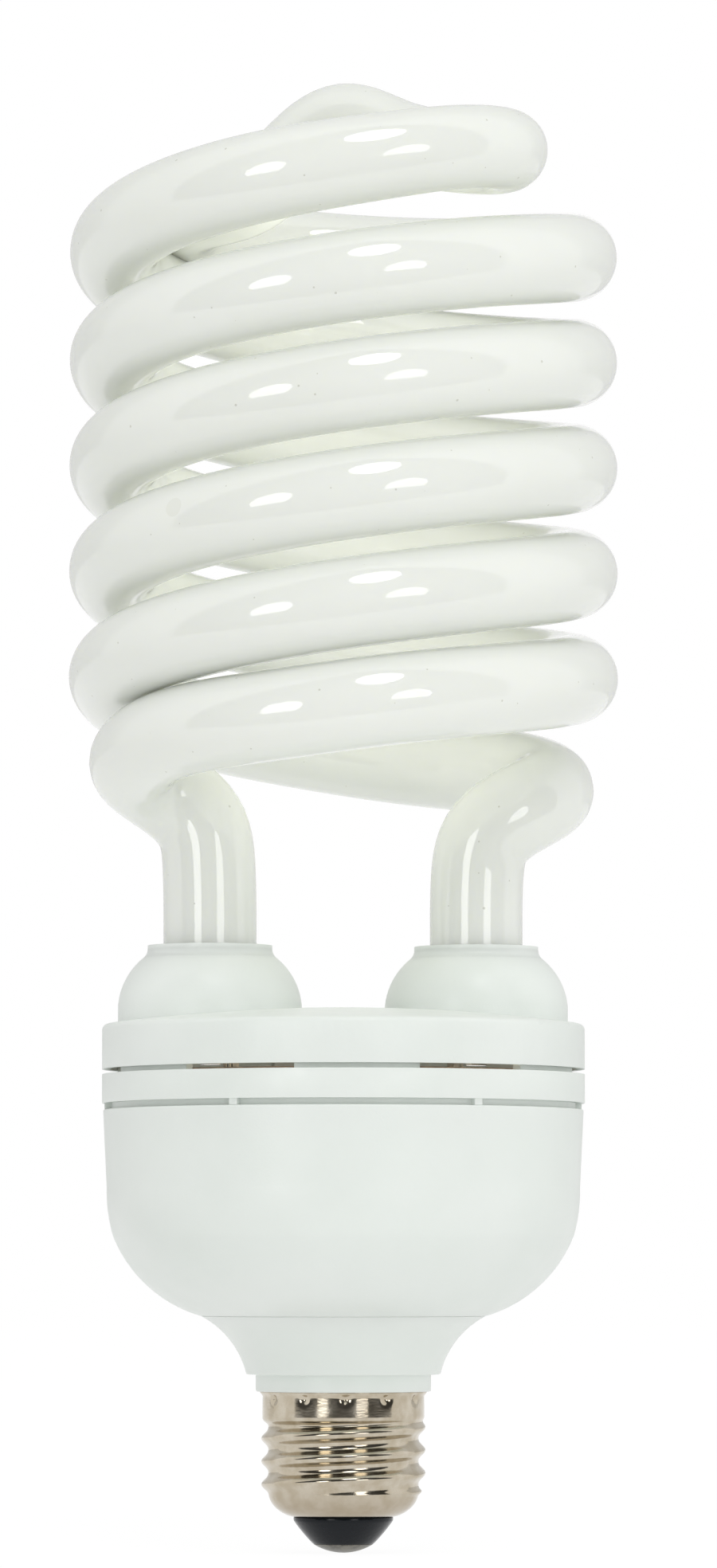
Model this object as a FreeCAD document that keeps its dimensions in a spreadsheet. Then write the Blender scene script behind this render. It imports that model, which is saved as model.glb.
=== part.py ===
import FreeCAD, Part
import Sketcher
import math
import os

# A large spiral energy saving lamp with a medium Edison screw base.
# Two strands of glass tube wind up side by side as a double helix, cross over at the crown and
# come down as two straight legs. The legs are cemented into the collars of a white top cap.
# Below the cap are a vent ring, the lower housing with the ballast board, a tapered neck and
# the screw base. Z is up along the lamp's axis and z = 0 is the lowest point of the contact.

doc = FreeCAD.newDocument("spiral_lamp")
sheet = doc.addObject("Spreadsheet::Sheet", "sizes")

# Driving dimensions in millimetres, angles in degrees
DRIVING = {
    # screw base, from the contact upwards
    "contact_radius": 4.8,
    "contact_rise": 1.4,
    "insulator_radius": 7.9,
    "insulator_rise": 4.3,
    "insulator_edge": 0.6,
    "plug_rise": 1.6,
    "shell_wall": 0.4,
    "shoulder_rise": 3.4,
    "shoulder_curve": 5.2,
    "thread_radius": 13.02,
    "thread_depth": 1.1,
    "thread_fade": 1.4,
    "thread_pitch": 3.63,
    "thread_turns": 3.4,
    "thread_turn": 14.0,
    "band_radius": 12.85,
    "band_rise": 4.0,
    "lip_radius": 13.3,
    "lip_rise": 0.6,
    # neck moulding
    "collar_radius": 13.9,
    "collar_rise": 2.7,
    "neck_waist_radius": 15.4,
    "neck_rise": 9.2,
    "seam_plug_rise": 2.0,
    "neck_curve": 14.0,
    "neck_wall": 1.7,
    # lower housing
    "seam_radius": 22.6,
    "bowl_rise": 12.7,
    "bowl_draft": 1.0,
    "bowl_curve": 21.4,
    "haunch_rise": 7.6,
    "haunch_draft": 0.6,
    "haunch_curve": 25.0,
    "barrel_rise": 12.4,
    "housing_inset": 0.2,
    "housing_wall": 1.9,
    # vent ring between housing and cap
    "lower_gap": 1.0,
    "vent_band_rise": 4.6,
    "upper_gap": 0.8,
    "spigot_wall": 1.5,
    "spigot_depth": 4.0,
    "window_angle": 29.5,
    "window_rise": 3.2,
    "window_count": 6,
    "window_turn": 3.5,
    "window_reach": 0.5,
    "rib_width": 1.4,
    "rib_root": 0.5,
    "rib_inset": 0.4,
    # top cap
    "skirt_rise": 7.2,
    "cap_radius": 38.4,
    "skirt_wall": 1.35,
    "cap_wall": 1.7,
    "cap_crown": 2.5,
    "cap_edge": 1.0,
    "collar_height": 12.4,
    "collar_lip_radius": 9.9,
    "collar_lip_rise": 1.1,
    "collar_neck_radius": 9.4,
    "collar_dome_radius": 14.6,
    "collar_dome_rise": 8.4,
    "collar_dome_curve": 11.0,
    "collar_wall": 2.2,
    "cement_gap": 1.2,
    "cement_rise": 5.4,
    # glass tube
    "leg_inset": 17.05,
    "leg_angle": 6.7,
    "leg_radius": 7.42,
    "leg_rise": 10.5,
    "leg_settle": 6.0,
    "leg_straight": 10.0,
    "leg_clearance": 1.2,
    "leg_taper_start": 30.0,
    "leg_taper_end": 70.0,
    "coil_radius": 36.8,
    "coil_tube_radius": 7.1,
    "crown_tube_radius": 6.5,
    "strand_pitch": 33.92,
    "strand_turns": 2.8,
    "coil_lift": 27.2,
    "coil_foot_angle": 15.0,
    "coil_shrink": 2.3,
    "crown_bend_radius": 12.5,
    "crown_rise": 10.2,
    "crown_width": 11.5,
    "crown_taper_start": 90.0,
    "crown_taper_end": 42.0,
    "arm_sink_run": 16.0,
    "near_arm_lift": 1.3,
    "near_lift_turn": 200.0,
    "far_arm_drop": 3.6,
    "far_drop_turn": 100.0,
    "far_end_lift": 2.2,
    "near_end_drop": 0.8,
    "seal_rise": 3.2,
    "tip_radius": 1.6,
    "tip_rise": 2.6,
    # ballast board and what is soldered to it, as laid out for a board of the drawn radius
    "board_drawn": 35.4,
    "board_wall": 1.6,
    "board_drop": 0.5,
    "ledge_width": 1.6,
    "ledge_rise": 1.4,
    "pin_width": 1.0,
    "pin_rise": 4.0,
    "pin_tail": 1.2,
    "lead_radius": 0.35,
    "wire_radius": 0.6,
    "neutral_out": 3.0,
    "bulk_radius": 8.0,
    "bulk_length": 31.0,
    "bulk_gap": 0.9,
    "bulk_back": 14.0,
    "can_edge": 0.8,
    "crimp_drop": 5.0,
    "crimp_rise": 1.6,
    "crimp_depth": 0.6,
    "core_width": 25.0,
    "core_depth": 7.2,
    "core_rise": 17.0,
    "core_leg": 6.2,
    "choke_front": 17.0,
    "bobbin_wall": 0.8,
    "bobbin_depth": 15.6,
    "winding_inset": 0.5,
    "toroid_radius": 5.0,
    "toroid_bore": 2.6,
    "toroid_rise": 3.6,
    "toroid_out": 24.0,
    "toroid_front": 10.0,
    "transistor_width": 10.0,
    "transistor_deep": 4.5,
    "transistor_rise": 9.0,
    "transistor_out": 27.0,
    "transistor_gap": 7.0,
    "transistor_drop": 4.0,
    "transistor_leg": 0.6,
    "transistor_step": 2.54,
    "tab_drop": 6.2,
    "tab_wall": 1.3,
    "tab_hole": 1.8,
    "film_width": 12.0,
    "film_deep": 5.0,
    "film_rise": 10.5,
    "film_out": 27.5,
    "film_front": 3.0,
    "film_in": 22.0,
    "film_back": 14.5,
    "tail_length": 1.6,
    "diode_radius": 1.35,
    "diode_length": 5.2,
    "diode_step": 5.0,
    "diode_back": 26.8,
    "resistor_radius": 1.2,
    "resistor_length": 6.0,
    "resistor_out": 20.9,
    "resistor_back": 17.6,
    "resistor_step": 3.6,
    "resistor_front": 29.0,
    "fuse_radius": 1.7,
    "fuse_length": 6.4,
    "fuse_out": 19.0,
    "fuse_front": 20.0,
    "drum_radius": 4.2,
    "drum_rise": 10.0,
    "drum_flange": 1.2,
    "drum_waist": 2.1,
    "drum_inset": 0.4,
    "drum_out": 20.0,
    "drum_front": 17.5,
    "disc_radius": 4.5,
    "disc_wall": 2.6,
    "disc_out": 13.5,
    "disc_back": 23.3,
    # clearance between pieces that are pushed or moulded round each other
    "fit_gap": 0.15,
}
for row, (name, number) in enumerate(DRIVING.items(), start=1):
    sheet.set("A%d" % row, name)
    sheet.set("B%d" % row, str(number))
    sheet.setAlias("B%d" % row, name)
doc.recompute()


class Size:
    """A length with its number and the formula that a bound property keeps."""

    def __init__(self, number, formula):
        self.number = float(number)
        self.formula = formula

    def __float__(self):
        return self.number

    def __add__(self, other):
        return Size(self.number + float(other), "(%s + %s)" % (self.formula, formula(other)))

    def __sub__(self, other):
        return Size(self.number - float(other), "(%s - %s)" % (self.formula, formula(other)))

    def __mul__(self, other):
        return Size(self.number * float(other), "(%s * %s)" % (self.formula, formula(other)))

    def __truediv__(self, other):
        return Size(self.number / float(other), "(%s / %s)" % (self.formula, formula(other)))

    def __radd__(self, other):
        return Size(other + self.number, "(%s + %s)" % (formula(other), self.formula))

    def __rsub__(self, other):
        return Size(other - self.number, "(%s - %s)" % (formula(other), self.formula))


def formula(size):
    """The text of a size or of a plain number, for an expression."""
    return size.formula if isinstance(size, Size) else "(%r)" % float(size)


class Sizes:
    """Reads the sheet: sizes.coil_radius is the cell with that alias."""

    def __getattr__(self, name):
        return Size(sheet.get(name), "sizes." + name)


sizes = Sizes()


def bind(thing, prop, size):
    """Ties a property to the sheet through its formula."""
    thing.setExpression(prop, formula(size))


def place(thing, x=0.0, y=0.0, z=0.0):
    bind(thing, "Placement.Base.x", x)
    bind(thing, "Placement.Base.y", y)
    bind(thing, "Placement.Base.z", z)


# Heights along the axis, each worked out from the pieces below it
insulator_foot = sizes.contact_rise
shell_foot = insulator_foot + sizes.insulator_rise
thread_foot = shell_foot + sizes.shoulder_rise
thread_head = thread_foot + sizes.thread_pitch * sizes.thread_turns
shell_top = thread_head + sizes.band_rise
waist_height = shell_top + sizes.collar_rise
seam_height = waist_height + sizes.neck_rise
bowl_top = seam_height + sizes.bowl_rise
haunch_top = bowl_top + sizes.haunch_rise
housing_top = haunch_top + sizes.barrel_rise
ledge_height = housing_top - sizes.spigot_depth
band_foot = housing_top + sizes.lower_gap
band_top = band_foot + sizes.vent_band_rise
cap_foot = band_top + sizes.upper_gap
rim_height = cap_foot + sizes.skirt_rise
ceiling = rim_height - sizes.cap_wall
collar_top = rim_height + sizes.collar_height
board_top = cap_foot - sizes.board_drop
board_foot = board_top - sizes.board_wall

# Radii and places that follow the cap's radius
spigot_radius = sizes.cap_radius - sizes.skirt_wall - sizes.fit_gap
spigot_bore = spigot_radius - sizes.spigot_wall
housing_radius = sizes.cap_radius - sizes.housing_inset
haunch_radius = housing_radius - sizes.haunch_draft
bowl_radius = haunch_radius - sizes.bowl_draft
leg_spread = sizes.cap_radius - sizes.leg_inset


class Layout:
    """Widths and places on the board, which grow and shrink with the board's radius."""

    def __getattr__(self, name):
        return getattr(sizes, name) * (spigot_bore / sizes.board_drawn)


layout = Layout()


# PartDesign helpers: one outline sketch, then a revolution, pad or pocket
def outline(body, name, role, corners, arcs=None, offset=None):
    """Closed sketch on one of the body's own planes; arcs maps a corner to (radius, side)."""
    plane = [f for f in body.Origin.OriginFeatures if f.Role == role][0]
    sketch = body.newObject("Sketcher::SketchObject", name)
    sketch.AttachmentSupport = [(plane, "")]
    sketch.MapMode = "FlatFace"
    for axis, size in (offset or {}).items():
        bind(sketch, "AttachmentOffset.Base." + axis, size)
    spots = [FreeCAD.Vector(float(a), float(b), 0) for a, b in corners]
    for i, start in enumerate(spots):
        end = spots[(i + 1) % len(spots)]
        if arcs and i in arcs:
            radius, side = arcs[i]
            chord = end - start
            sagitta = float(radius) - math.sqrt(float(radius) ** 2 - chord.Length ** 2 / 4)
            across = FreeCAD.Vector(-chord.y, chord.x, 0).normalize() * side
            sketch.addGeometry(Part.Arc(start, (start + end) / 2 + across * sagitta, end))
        else:
            sketch.addGeometry(Part.LineSegment(start, end))

    def end_at(edge, spot):
        near = (sketch.getPoint(edge, 1) - spot).Length < (sketch.getPoint(edge, 2) - spot).Length
        return 1 if near else 2

    for i, spot in enumerate(spots):
        before = (i - 1) % len(spots)
        here = end_at(i, spot)
        sketch.addConstraint(
            Sketcher.Constraint("Coincident", before, end_at(before, spot), i, here))
        for kind, axis_line, size in (("DistanceX", -2, corners[i][0]),
                                      ("DistanceY", -1, corners[i][1])):
            if abs(float(size)) < 1e-9:
                sketch.addConstraint(Sketcher.Constraint("PointOnObject", i, here, axis_line))
                continue
            index = sketch.addConstraint(Sketcher.Constraint(kind, -1, 1, i, here, float(size)))
            if isinstance(size, Size):
                sketch.setExpression("Constraints[%d]" % index, size.formula)
    for i, (radius, side) in (arcs or {}).items():
        index = sketch.addConstraint(Sketcher.Constraint("Radius", i, float(radius)))
        sketch.setExpression("Constraints[%d]" % index, radius.formula)
    return sketch


def new_body(label):
    body = doc.addObject("PartDesign::Body", label)
    body.Label = label
    return body


def turned(body, name, corners, arcs=None, offset=None, kind="Revolution"):
    """Turns an outline of (radius, height) corners round the sketch's upright axis."""
    sketch = outline(body, name + "_outline", "XZ_Plane", corners, arcs, offset)
    feature = body.newObject("PartDesign::" + kind, name)
    feature.Profile = sketch
    feature.ReferenceAxis = (sketch, ["V_Axis"])
    feature.Angle = 360
    doc.recompute()
    return feature


def upright(body, name, corners, height, foot, kind="Pad"):
    """Pads or pockets a plan outline upwards from a height."""
    sketch = outline(body, name + "_outline", "XY_Plane", corners, offset={"z": foot})
    feature = body.newObject("PartDesign::" + kind, name)
    feature.Profile = sketch
    bind(feature, "Length", height)
    feature.Reversed = kind == "Pocket"
    doc.recompute()
    return feature


def around(body, name, features, count):
    """Repeats features evenly round the lamp's axis."""
    pattern = body.newObject("PartDesign::PolarPattern", name)
    pattern.Originals = features
    pattern.Axis = ([f for f in body.Origin.OriginFeatures if f.Role == "Z_Axis"][0], [""])
    pattern.Angle = 360
    bind(pattern, "Occurrences", count)
    body.Tip = pattern
    doc.recompute()
    return pattern


# Part helpers for the small pieces on the board
def block(name, wide, deep, tall, x, y, z):
    """A box centred on x and y, standing on z."""
    box = doc.addObject("Part::Box", name)
    bind(box, "Length", wide)
    bind(box, "Width", deep)
    bind(box, "Height", tall)
    place(box, x - wide / 2, y - deep / 2, z)
    return box


def rod(name, radius, length, x, y, z, direction=None):
    """A round rod from a point along a direction, upwards unless one is given."""
    cylinder = doc.addObject("Part::Cylinder", name)
    bind(cylinder, "Radius", radius)
    bind(cylinder, "Height", length)
    if direction:
        tilt = FreeCAD.Rotation(FreeCAD.Vector(0, 0, 1), direction)
        cylinder.Placement = FreeCAD.Placement(FreeCAD.Vector(), tilt)
    place(cylinder, x, y, z)
    return cylinder


def fused(label, pieces):
    union = doc.addObject("Part::MultiFuse", label)
    union.Shapes = pieces
    union.Label = label
    return union


def grouped(label, pieces):
    """Separate solids that share one node."""
    group = doc.addObject("Part::Compound", label)
    group.Links = pieces
    group.Label = label
    return group


def turned_to_legs(thing):
    """Turns a piece about the lamp's axis until it lines up with the two legs."""
    thing.setExpression("Placement.Rotation.Angle", sizes.leg_angle.formula)
    return thing


def cut(label, base, tool):
    rest = doc.addObject("Part::Cut", label)
    rest.Base = base
    rest.Tool = tool
    rest.Label = label
    return rest


# Skin helpers for pieces that aren't turned: rings of control points, one after another
def round_axis(radius, degrees, height):
    angle = math.radians(degrees)
    return FreeCAD.Vector(radius * math.cos(angle), radius * math.sin(angle), height)


def blend(value, low, high):
    """Rises smoothly from 0 at low to 1 at high."""
    share = min(1.0, max(0.0, (value - low) / (high - low)))
    return share * share * (3 - 2 * share)


def outset(count):
    """How far a uniform cubic's control ring lies outside the round that it makes."""
    return 3 / (2 + math.cos(2 * math.pi / count))


def skin_through(rings, stations):
    """A skin that closes round each ring and runs smoothly from ring to ring."""
    lines = []
    for spots in zip(*rings):
        line = Part.BSplineCurve()
        line.interpolate(Points=list(spots), Parameters=stations)
        lines.append(line)
    first, count = lines[0], len(lines)
    skin = Part.BSplineSurface()
    skin.buildFromPolesMultsKnots(
        [[line.getPole(i + 1) for line in lines] for i in range(first.NbPoles)],
        first.getMultiplicities(), [1] * (count + 1),
        first.getKnots(), list(range(count + 1)), False, True, first.Degree, 3)
    return skin


def closed_solid(label, faces):
    """Sews faces that share their rims into one solid of its own node."""
    walls = Part.Shell(faces)
    walls.sewShape()
    piece = doc.addObject("Part::Feature", label)
    piece.Label = label
    piece.Shape = Part.Solid(walls)
    return piece


# Centre contact: a pressed disc with a domed underside
contact = new_body("centre_contact")
dome_curve = (sizes.contact_radius * sizes.contact_radius / sizes.contact_rise
              + sizes.contact_rise) / 2
turned(contact, "contact_disc",
       [(0.0, 0.0), (sizes.contact_radius, sizes.contact_rise), (0.0, sizes.contact_rise)],
       arcs={0: (dome_curve, -1)})

# Black glass insulator: a cone with a bore for the live wire, its shoulder under the shell
insulator = new_body("insulator")
wire_bore = sizes.wire_radius + sizes.fit_gap
plug_radius = sizes.insulator_radius - sizes.shell_wall - sizes.fit_gap
turned(insulator, "insulator_cone",
       [(wire_bore, insulator_foot),
        (sizes.contact_radius, insulator_foot),
        (sizes.insulator_radius, shell_foot - sizes.insulator_edge),
        (sizes.insulator_radius, shell_foot),
        (plug_radius, shell_foot),
        (plug_radius, shell_foot + sizes.plug_rise),
        (wire_bore, shell_foot + sizes.plug_rise)])

# Screw shell: thin plated sheet, drawn with a rounded shoulder and a flared lip and rolled with
# a right-hand knuckle thread that fades out at both ends
foot_inside = sizes.insulator_radius - sizes.shell_wall
thread_inside = sizes.thread_radius - sizes.thread_depth - sizes.shell_wall
band_inside = sizes.band_radius - sizes.shell_wall
wall = float(sizes.shell_wall)
crest_radius = float(sizes.thread_radius)
thread_pitch = float(sizes.thread_pitch)
half_fade = float(sizes.thread_fade) / 2
shoulder_curve = float(sizes.shoulder_curve)
SHELL_LINE_COUNT = 24


def rolled_in(degrees, height):
    """How far the rolled thread lies inside the crest radius."""
    crest = float(thread_foot) + thread_pitch * (degrees - float(sizes.thread_turn)) / 360
    wave = (1 + math.cos(2 * math.pi * (height - crest) / thread_pitch)) / 2
    foot_share = blend(height, float(thread_foot) - half_fade, float(thread_foot) + half_fade)
    head_share = blend(float(thread_head) - height, 0, 2 * half_fade)
    return float(sizes.thread_depth) * foot_share * head_share * (1 - wave)


def shell_ring(radius, height, rolled_height):
    spokes = [360.0 * step / SHELL_LINE_COUNT for step in range(SHELL_LINE_COUNT)]
    return [round_axis((radius - rolled_in(degrees, rolled_height)) * outset(SHELL_LINE_COUNT),
                       degrees, height) for degrees in spokes]


# The shoulder is an arc that ends upright at the thread's foot; the inside keeps the wall's distance
start, end = (float(sizes.insulator_radius), float(shell_foot)), (crest_radius, float(thread_foot))
half_chord = math.dist(start, end) / 2
along = ((end[0] - start[0]) / (2 * half_chord), (end[1] - start[1]) / (2 * half_chord))
depth = math.sqrt(shoulder_curve ** 2 - half_chord ** 2)
centre = ((start[0] + end[0]) / 2 - along[1] * depth, (start[1] + end[1]) / 2 + along[0] * depth)
swing = math.asin(half_chord / shoulder_curve)
SHOULDER_COUNT = 8
profile = []
for step in range(SHOULDER_COUNT):
    angle = swing * (2 * step / SHOULDER_COUNT - 1)
    out = (along[1] * math.cos(angle) + along[0] * math.sin(angle),
           -along[0] * math.cos(angle) + along[1] * math.sin(angle))
    profile.append((centre[0] + out[0] * shoulder_curve, centre[1] + out[1] * shoulder_curve,
                    centre[0] + out[0] * (shoulder_curve - wall),
                    centre[1] + out[1] * (shoulder_curve - wall)))
row_count = round(8 * float(sizes.thread_turns))
for step in range(row_count + 1):
    height = float(thread_foot) + (float(thread_head) - float(thread_foot)) * step / row_count
    profile.append((crest_radius, height, crest_radius - wall, height))
lip_foot = float(shell_top - sizes.lip_rise)
band_foot_height = float(thread_head + sizes.lip_rise)
band_middle = (band_foot_height + lip_foot) / 2
for height in (band_foot_height, band_middle, lip_foot):
    profile.append((float(sizes.band_radius), height, float(band_inside), height))
profile.append((float(sizes.lip_radius), float(shell_top), float(band_inside), float(shell_top)))
outer_rings = [shell_ring(radius, height, height) for radius, height, _, _ in profile]
inner_rings = [shell_ring(radius, height, outer_height)
               for _, outer_height, radius, height in profile]
foot_rings = [shell_ring(float(foot_inside), height, float(shell_foot))
              for height in (profile[0][3], float(shell_foot))]
runs = list(range(len(profile)))
shell_skins = [skin_through(outer_rings, runs), skin_through(inner_rings, runs)]
shell_skins += [skin_through(pair, [0, 1]) for pair in (
    (outer_rings[-1], inner_rings[-1]), (inner_rings[0], foot_rings[0]),
    (foot_rings[0], foot_rings[1]), (foot_rings[1], outer_rings[0]))]
closed_solid("screw_shell", [skin.toShape() for skin in shell_skins])

# Neck: a tapered moulding whose lower spigot is staked into the shell's band and whose upper
# spigot is glued into the housing's foot
neck = new_body("neck")
stake_radius = band_inside - sizes.fit_gap
stake_bore = stake_radius - sizes.neck_wall
stake_foot = thread_head + sizes.lip_rise + sizes.fit_gap
seam_bore = sizes.seam_radius - sizes.housing_wall
seam_plug = seam_bore - sizes.fit_gap
turned(neck, "neck_wall",
       [(stake_bore, stake_foot),
        (stake_radius, stake_foot),
        (stake_radius, shell_top),
        (sizes.collar_radius, shell_top),
        (sizes.collar_radius, waist_height),
        (sizes.neck_waist_radius, waist_height),
        (sizes.seam_radius, seam_height),
        (seam_plug, seam_height),
        (seam_plug, seam_height + sizes.seam_plug_rise),
        (seam_plug - sizes.neck_wall, seam_height + sizes.seam_plug_rise),
        (seam_plug - sizes.neck_wall, seam_height),
        (stake_bore, waist_height)],
       arcs={5: (sizes.neck_curve, 1), 10: (sizes.neck_curve, -1)})

# Lower housing: a bowl that turns up into a slightly flared barrel, rebated at the top
housing = new_body("lower_housing")
rebate_radius = spigot_radius + sizes.fit_gap
turned(housing, "housing_wall",
       [(seam_bore, seam_height),
        (sizes.seam_radius, seam_height),
        (bowl_radius, bowl_top),
        (haunch_radius, haunch_top),
        (housing_radius, housing_top),
        (rebate_radius, housing_top),
        (rebate_radius, ledge_height),
        (haunch_radius - sizes.housing_wall, ledge_height),
        (haunch_radius - sizes.housing_wall, haunch_top),
        (bowl_radius - sizes.housing_wall, bowl_top),
        (seam_bore, seam_height + sizes.housing_wall)],
       arcs={1: (sizes.bowl_curve, -1), 2: (sizes.haunch_curve, -1),
             8: (sizes.haunch_curve, 1), 9: (sizes.bowl_curve - sizes.housing_wall, 1)})

# Vent ring: a spigot that joins cap and housing, with an outer band, six vent windows above
# the band, six spacer ribs below it and a ledge inside for the board
ring = new_body("vent_ring")
turned(ring, "spigot",
       [(spigot_bore, ledge_height),
        (spigot_radius, ledge_height),
        (spigot_radius, band_foot),
        (sizes.cap_radius, band_foot),
        (sizes.cap_radius, band_top),
        (spigot_radius, band_top),
        (spigot_radius, ceiling),
        (spigot_bore, ceiling),
        (spigot_bore, board_foot),
        (spigot_bore - sizes.ledge_width, board_foot),
        (spigot_bore - sizes.ledge_width, board_foot - sizes.ledge_rise),
        (spigot_bore, board_foot - sizes.ledge_rise - sizes.ledge_width)])
half_window = float(sizes.window_angle) / 2
reach = spigot_radius + sizes.window_reach
window = upright(ring, "vent_window",
                 [(0.0, 0.0),
                  (reach, reach * -math.tan(math.radians(half_window))),
                  (reach, reach * math.tan(math.radians(half_window)))],
                 sizes.window_rise, band_top, kind="Pocket")
around(ring, "vent_windows", [window], sizes.window_count)
rib = upright(ring, "spacer_rib",
              [(spigot_radius - sizes.rib_root, sizes.rib_width / -2),
               (sizes.cap_radius - sizes.rib_inset, sizes.rib_width / -2),
               (sizes.cap_radius - sizes.rib_inset, sizes.rib_width / 2),
               (spigot_radius - sizes.rib_root, sizes.rib_width / 2)],
              sizes.lower_gap, housing_top)
around(ring, "spacer_ribs", [rib], sizes.window_count)
ring.setExpression("Placement.Rotation.Angle", sizes.window_turn.formula)

# Top cap: a low domed disc with a skirt, and two domed collars that the tube's legs stand in
cap = new_body("top_cap")
skirt_inside = spigot_radius + sizes.fit_gap
crown_edge = sizes.cap_radius - sizes.cap_edge
crown_curve = (crown_edge * crown_edge / sizes.cap_crown + sizes.cap_crown) / 2
turned(cap, "cap_disc",
       [(0.0, ceiling),
        (skirt_inside, ceiling),
        (skirt_inside, cap_foot),
        (sizes.cap_radius, cap_foot),
        (sizes.cap_radius, rim_height - sizes.cap_edge),
        (crown_edge, rim_height),
        (0.0, rim_height + sizes.cap_crown)],
       arcs={4: (sizes.cap_edge, -1), 5: (crown_curve, -1)})
lip_underside = collar_top - sizes.collar_lip_rise
dome_foot = lip_underside - sizes.collar_dome_rise
collar = turned(cap, "collar",
                [(0.0, ceiling),
                 (sizes.collar_dome_radius, ceiling),
                 (sizes.collar_dome_radius, dome_foot),
                 (sizes.collar_neck_radius, lip_underside),
                 (sizes.collar_lip_radius, lip_underside),
                 (sizes.collar_lip_radius, collar_top),
                 (0.0, collar_top)],
                arcs={2: (sizes.collar_dome_curve, -1)}, offset={"x": leg_spread})
around(cap, "collars", [collar], 2)
cement_top = lip_underside - sizes.collar_lip_rise
cement_foot = cement_top - sizes.cement_rise
cement_bore = sizes.leg_radius + sizes.cement_gap
leg_bore = sizes.leg_radius + sizes.fit_gap
bell_radius = sizes.collar_dome_radius - sizes.collar_wall
bore = turned(cap, "collar_bore",
              [(0.0, cap_foot),
               (bell_radius, cap_foot),
               (bell_radius, dome_foot - sizes.collar_wall),
               (cement_bore, cement_foot),
               (cement_bore, cement_top),
               (leg_bore, cement_top),
               (leg_bore, collar_top + sizes.collar_lip_rise),
               (0.0, collar_top + sizes.collar_lip_rise)],
              offset={"x": leg_spread}, kind="Groove")
around(cap, "collar_bores", [bore], 2)
turned_to_legs(cap)

# White cement that holds each leg in its collar: a plain ring below the collar's step
slack = sizes.fit_gap / 2
rings = []
for name, way in (("right", 1.0), ("left", -1.0)):
    leg_x = leg_spread * way
    rings.append(cut("cement_" + name,
                     rod("cement_disc_" + name, cement_bore - slack, sizes.cement_rise,
                         leg_x, 0.0, cement_foot),
                     rod("cement_hole_" + name, leg_bore - slack, sizes.cement_rise,
                         leg_x, 0.0, cement_foot)))
turned_to_legs(grouped("tube_cement", rings))


# Glass tube: one closed solid that follows a smooth centre line from one leg, up its strand,
# over the crown and down the other strand
coil_foot = float(collar_top + sizes.coil_lift)
coil_radius = float(sizes.coil_radius)
pitch = float(sizes.strand_pitch)
turn = 360.0
foot_angle = float(sizes.coil_foot_angle)
top_angle = foot_angle + turn * float(sizes.strand_turns)
crown_bend = float(sizes.crown_bend_radius)


def coil_height(degrees):
    return coil_foot + pitch * (degrees - foot_angle) / turn


def crown_arm(drop):
    """From the crown's middle out along a straight arm, then round a bend onto the coil."""
    arm = math.sqrt(coil_radius ** 2 - 2 * coil_radius * crown_bend)
    swing = math.degrees(math.atan2(crown_bend, arm))
    heading = top_angle + swing
    bend_centre = round_axis(coil_radius - crown_bend, top_angle, 0)
    bend_turn = math.radians(90 + swing)
    path = arm + crown_bend * bend_turn
    slope = 0.62 * pitch / (2 * math.pi * coil_radius)
    foot = coil_height(top_angle)
    peak = float(sizes.crown_rise) - slope * path
    stretch = [(share * arm, round_axis(share * arm, heading, 0)) for share in (0, 0.42, 0.8)]
    for share in (0.25, 0.62, 1.0):
        swept = bend_turn * share
        away = round_axis(crown_bend, heading + 90 - math.degrees(swept), 0)
        stretch.append((arm + crown_bend * swept, bend_centre + away))
    points = []
    for run, spot in stretch:
        bump = peak * math.exp(-(run / float(sizes.crown_width)) ** 2)
        sink = drop * min(1.0, run / float(sizes.arm_sink_run)) ** 2
        points.append(spot + FreeCAD.Vector(0, 0, foot + slope * (path - run) + bump - sink))
    return points


def strand(drop, drop_turn, lift):
    """One strand from the crown's middle to the foot of its leg, on the right-hand side."""
    points = crown_arm(drop)
    degrees = top_angle - 22
    while degrees >= foot_angle + 55:
        shrink = float(sizes.coil_shrink) * max(0.0, (foot_angle + 110 - degrees) / 90) ** 2
        sink = drop * min(1.0, max(0.0, (degrees - top_angle) / drop_turn + 1))
        rise = lift * min(1.0, max(0.0, (foot_angle + 165 - degrees) / 150))
        points.append(round_axis(coil_radius - shrink, degrees, coil_height(degrees) - sink + rise))
        degrees -= 30
    leg = round_axis(float(leg_spread), float(sizes.leg_angle), 0)
    leg_top = float(collar_top + sizes.leg_rise)
    fall = coil_foot - leg_top
    inset = coil_radius - leg.x
    for out, y, high, share in ((0.667, 15.0, 1.06, 1.0), (0.744, 6.5, 0.885, 1.0),
                                (0.455, 0.6, 0.66, 0.9), (0.125, 0.0, 0.375, 0.7),
                                (0.02, 1.6, 0.0, 0.4)):
        points.append(FreeCAD.Vector(leg.x + inset * out, y, leg_top + fall * high + lift * share))
    for height in (leg_top - float(sizes.leg_settle), leg_top - float(sizes.leg_straight),
                   float(ceiling), float(tube_foot)):
        points.append(FreeCAD.Vector(leg.x, leg.y, height))
    return points


tube_foot = board_top + sizes.leg_clearance
near = strand(-float(sizes.near_arm_lift), float(sizes.near_lift_turn), -float(sizes.near_end_drop))
far = strand(float(sizes.far_arm_drop), float(sizes.far_drop_turn), float(sizes.far_end_lift))
centre_line = Part.BSplineCurve()
centre_line.interpolate(Points=[FreeCAD.Vector(-p.x, -p.y, p.z) for p in reversed(far[1:])] + near)
path_end = centre_line.LastParameter


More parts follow.
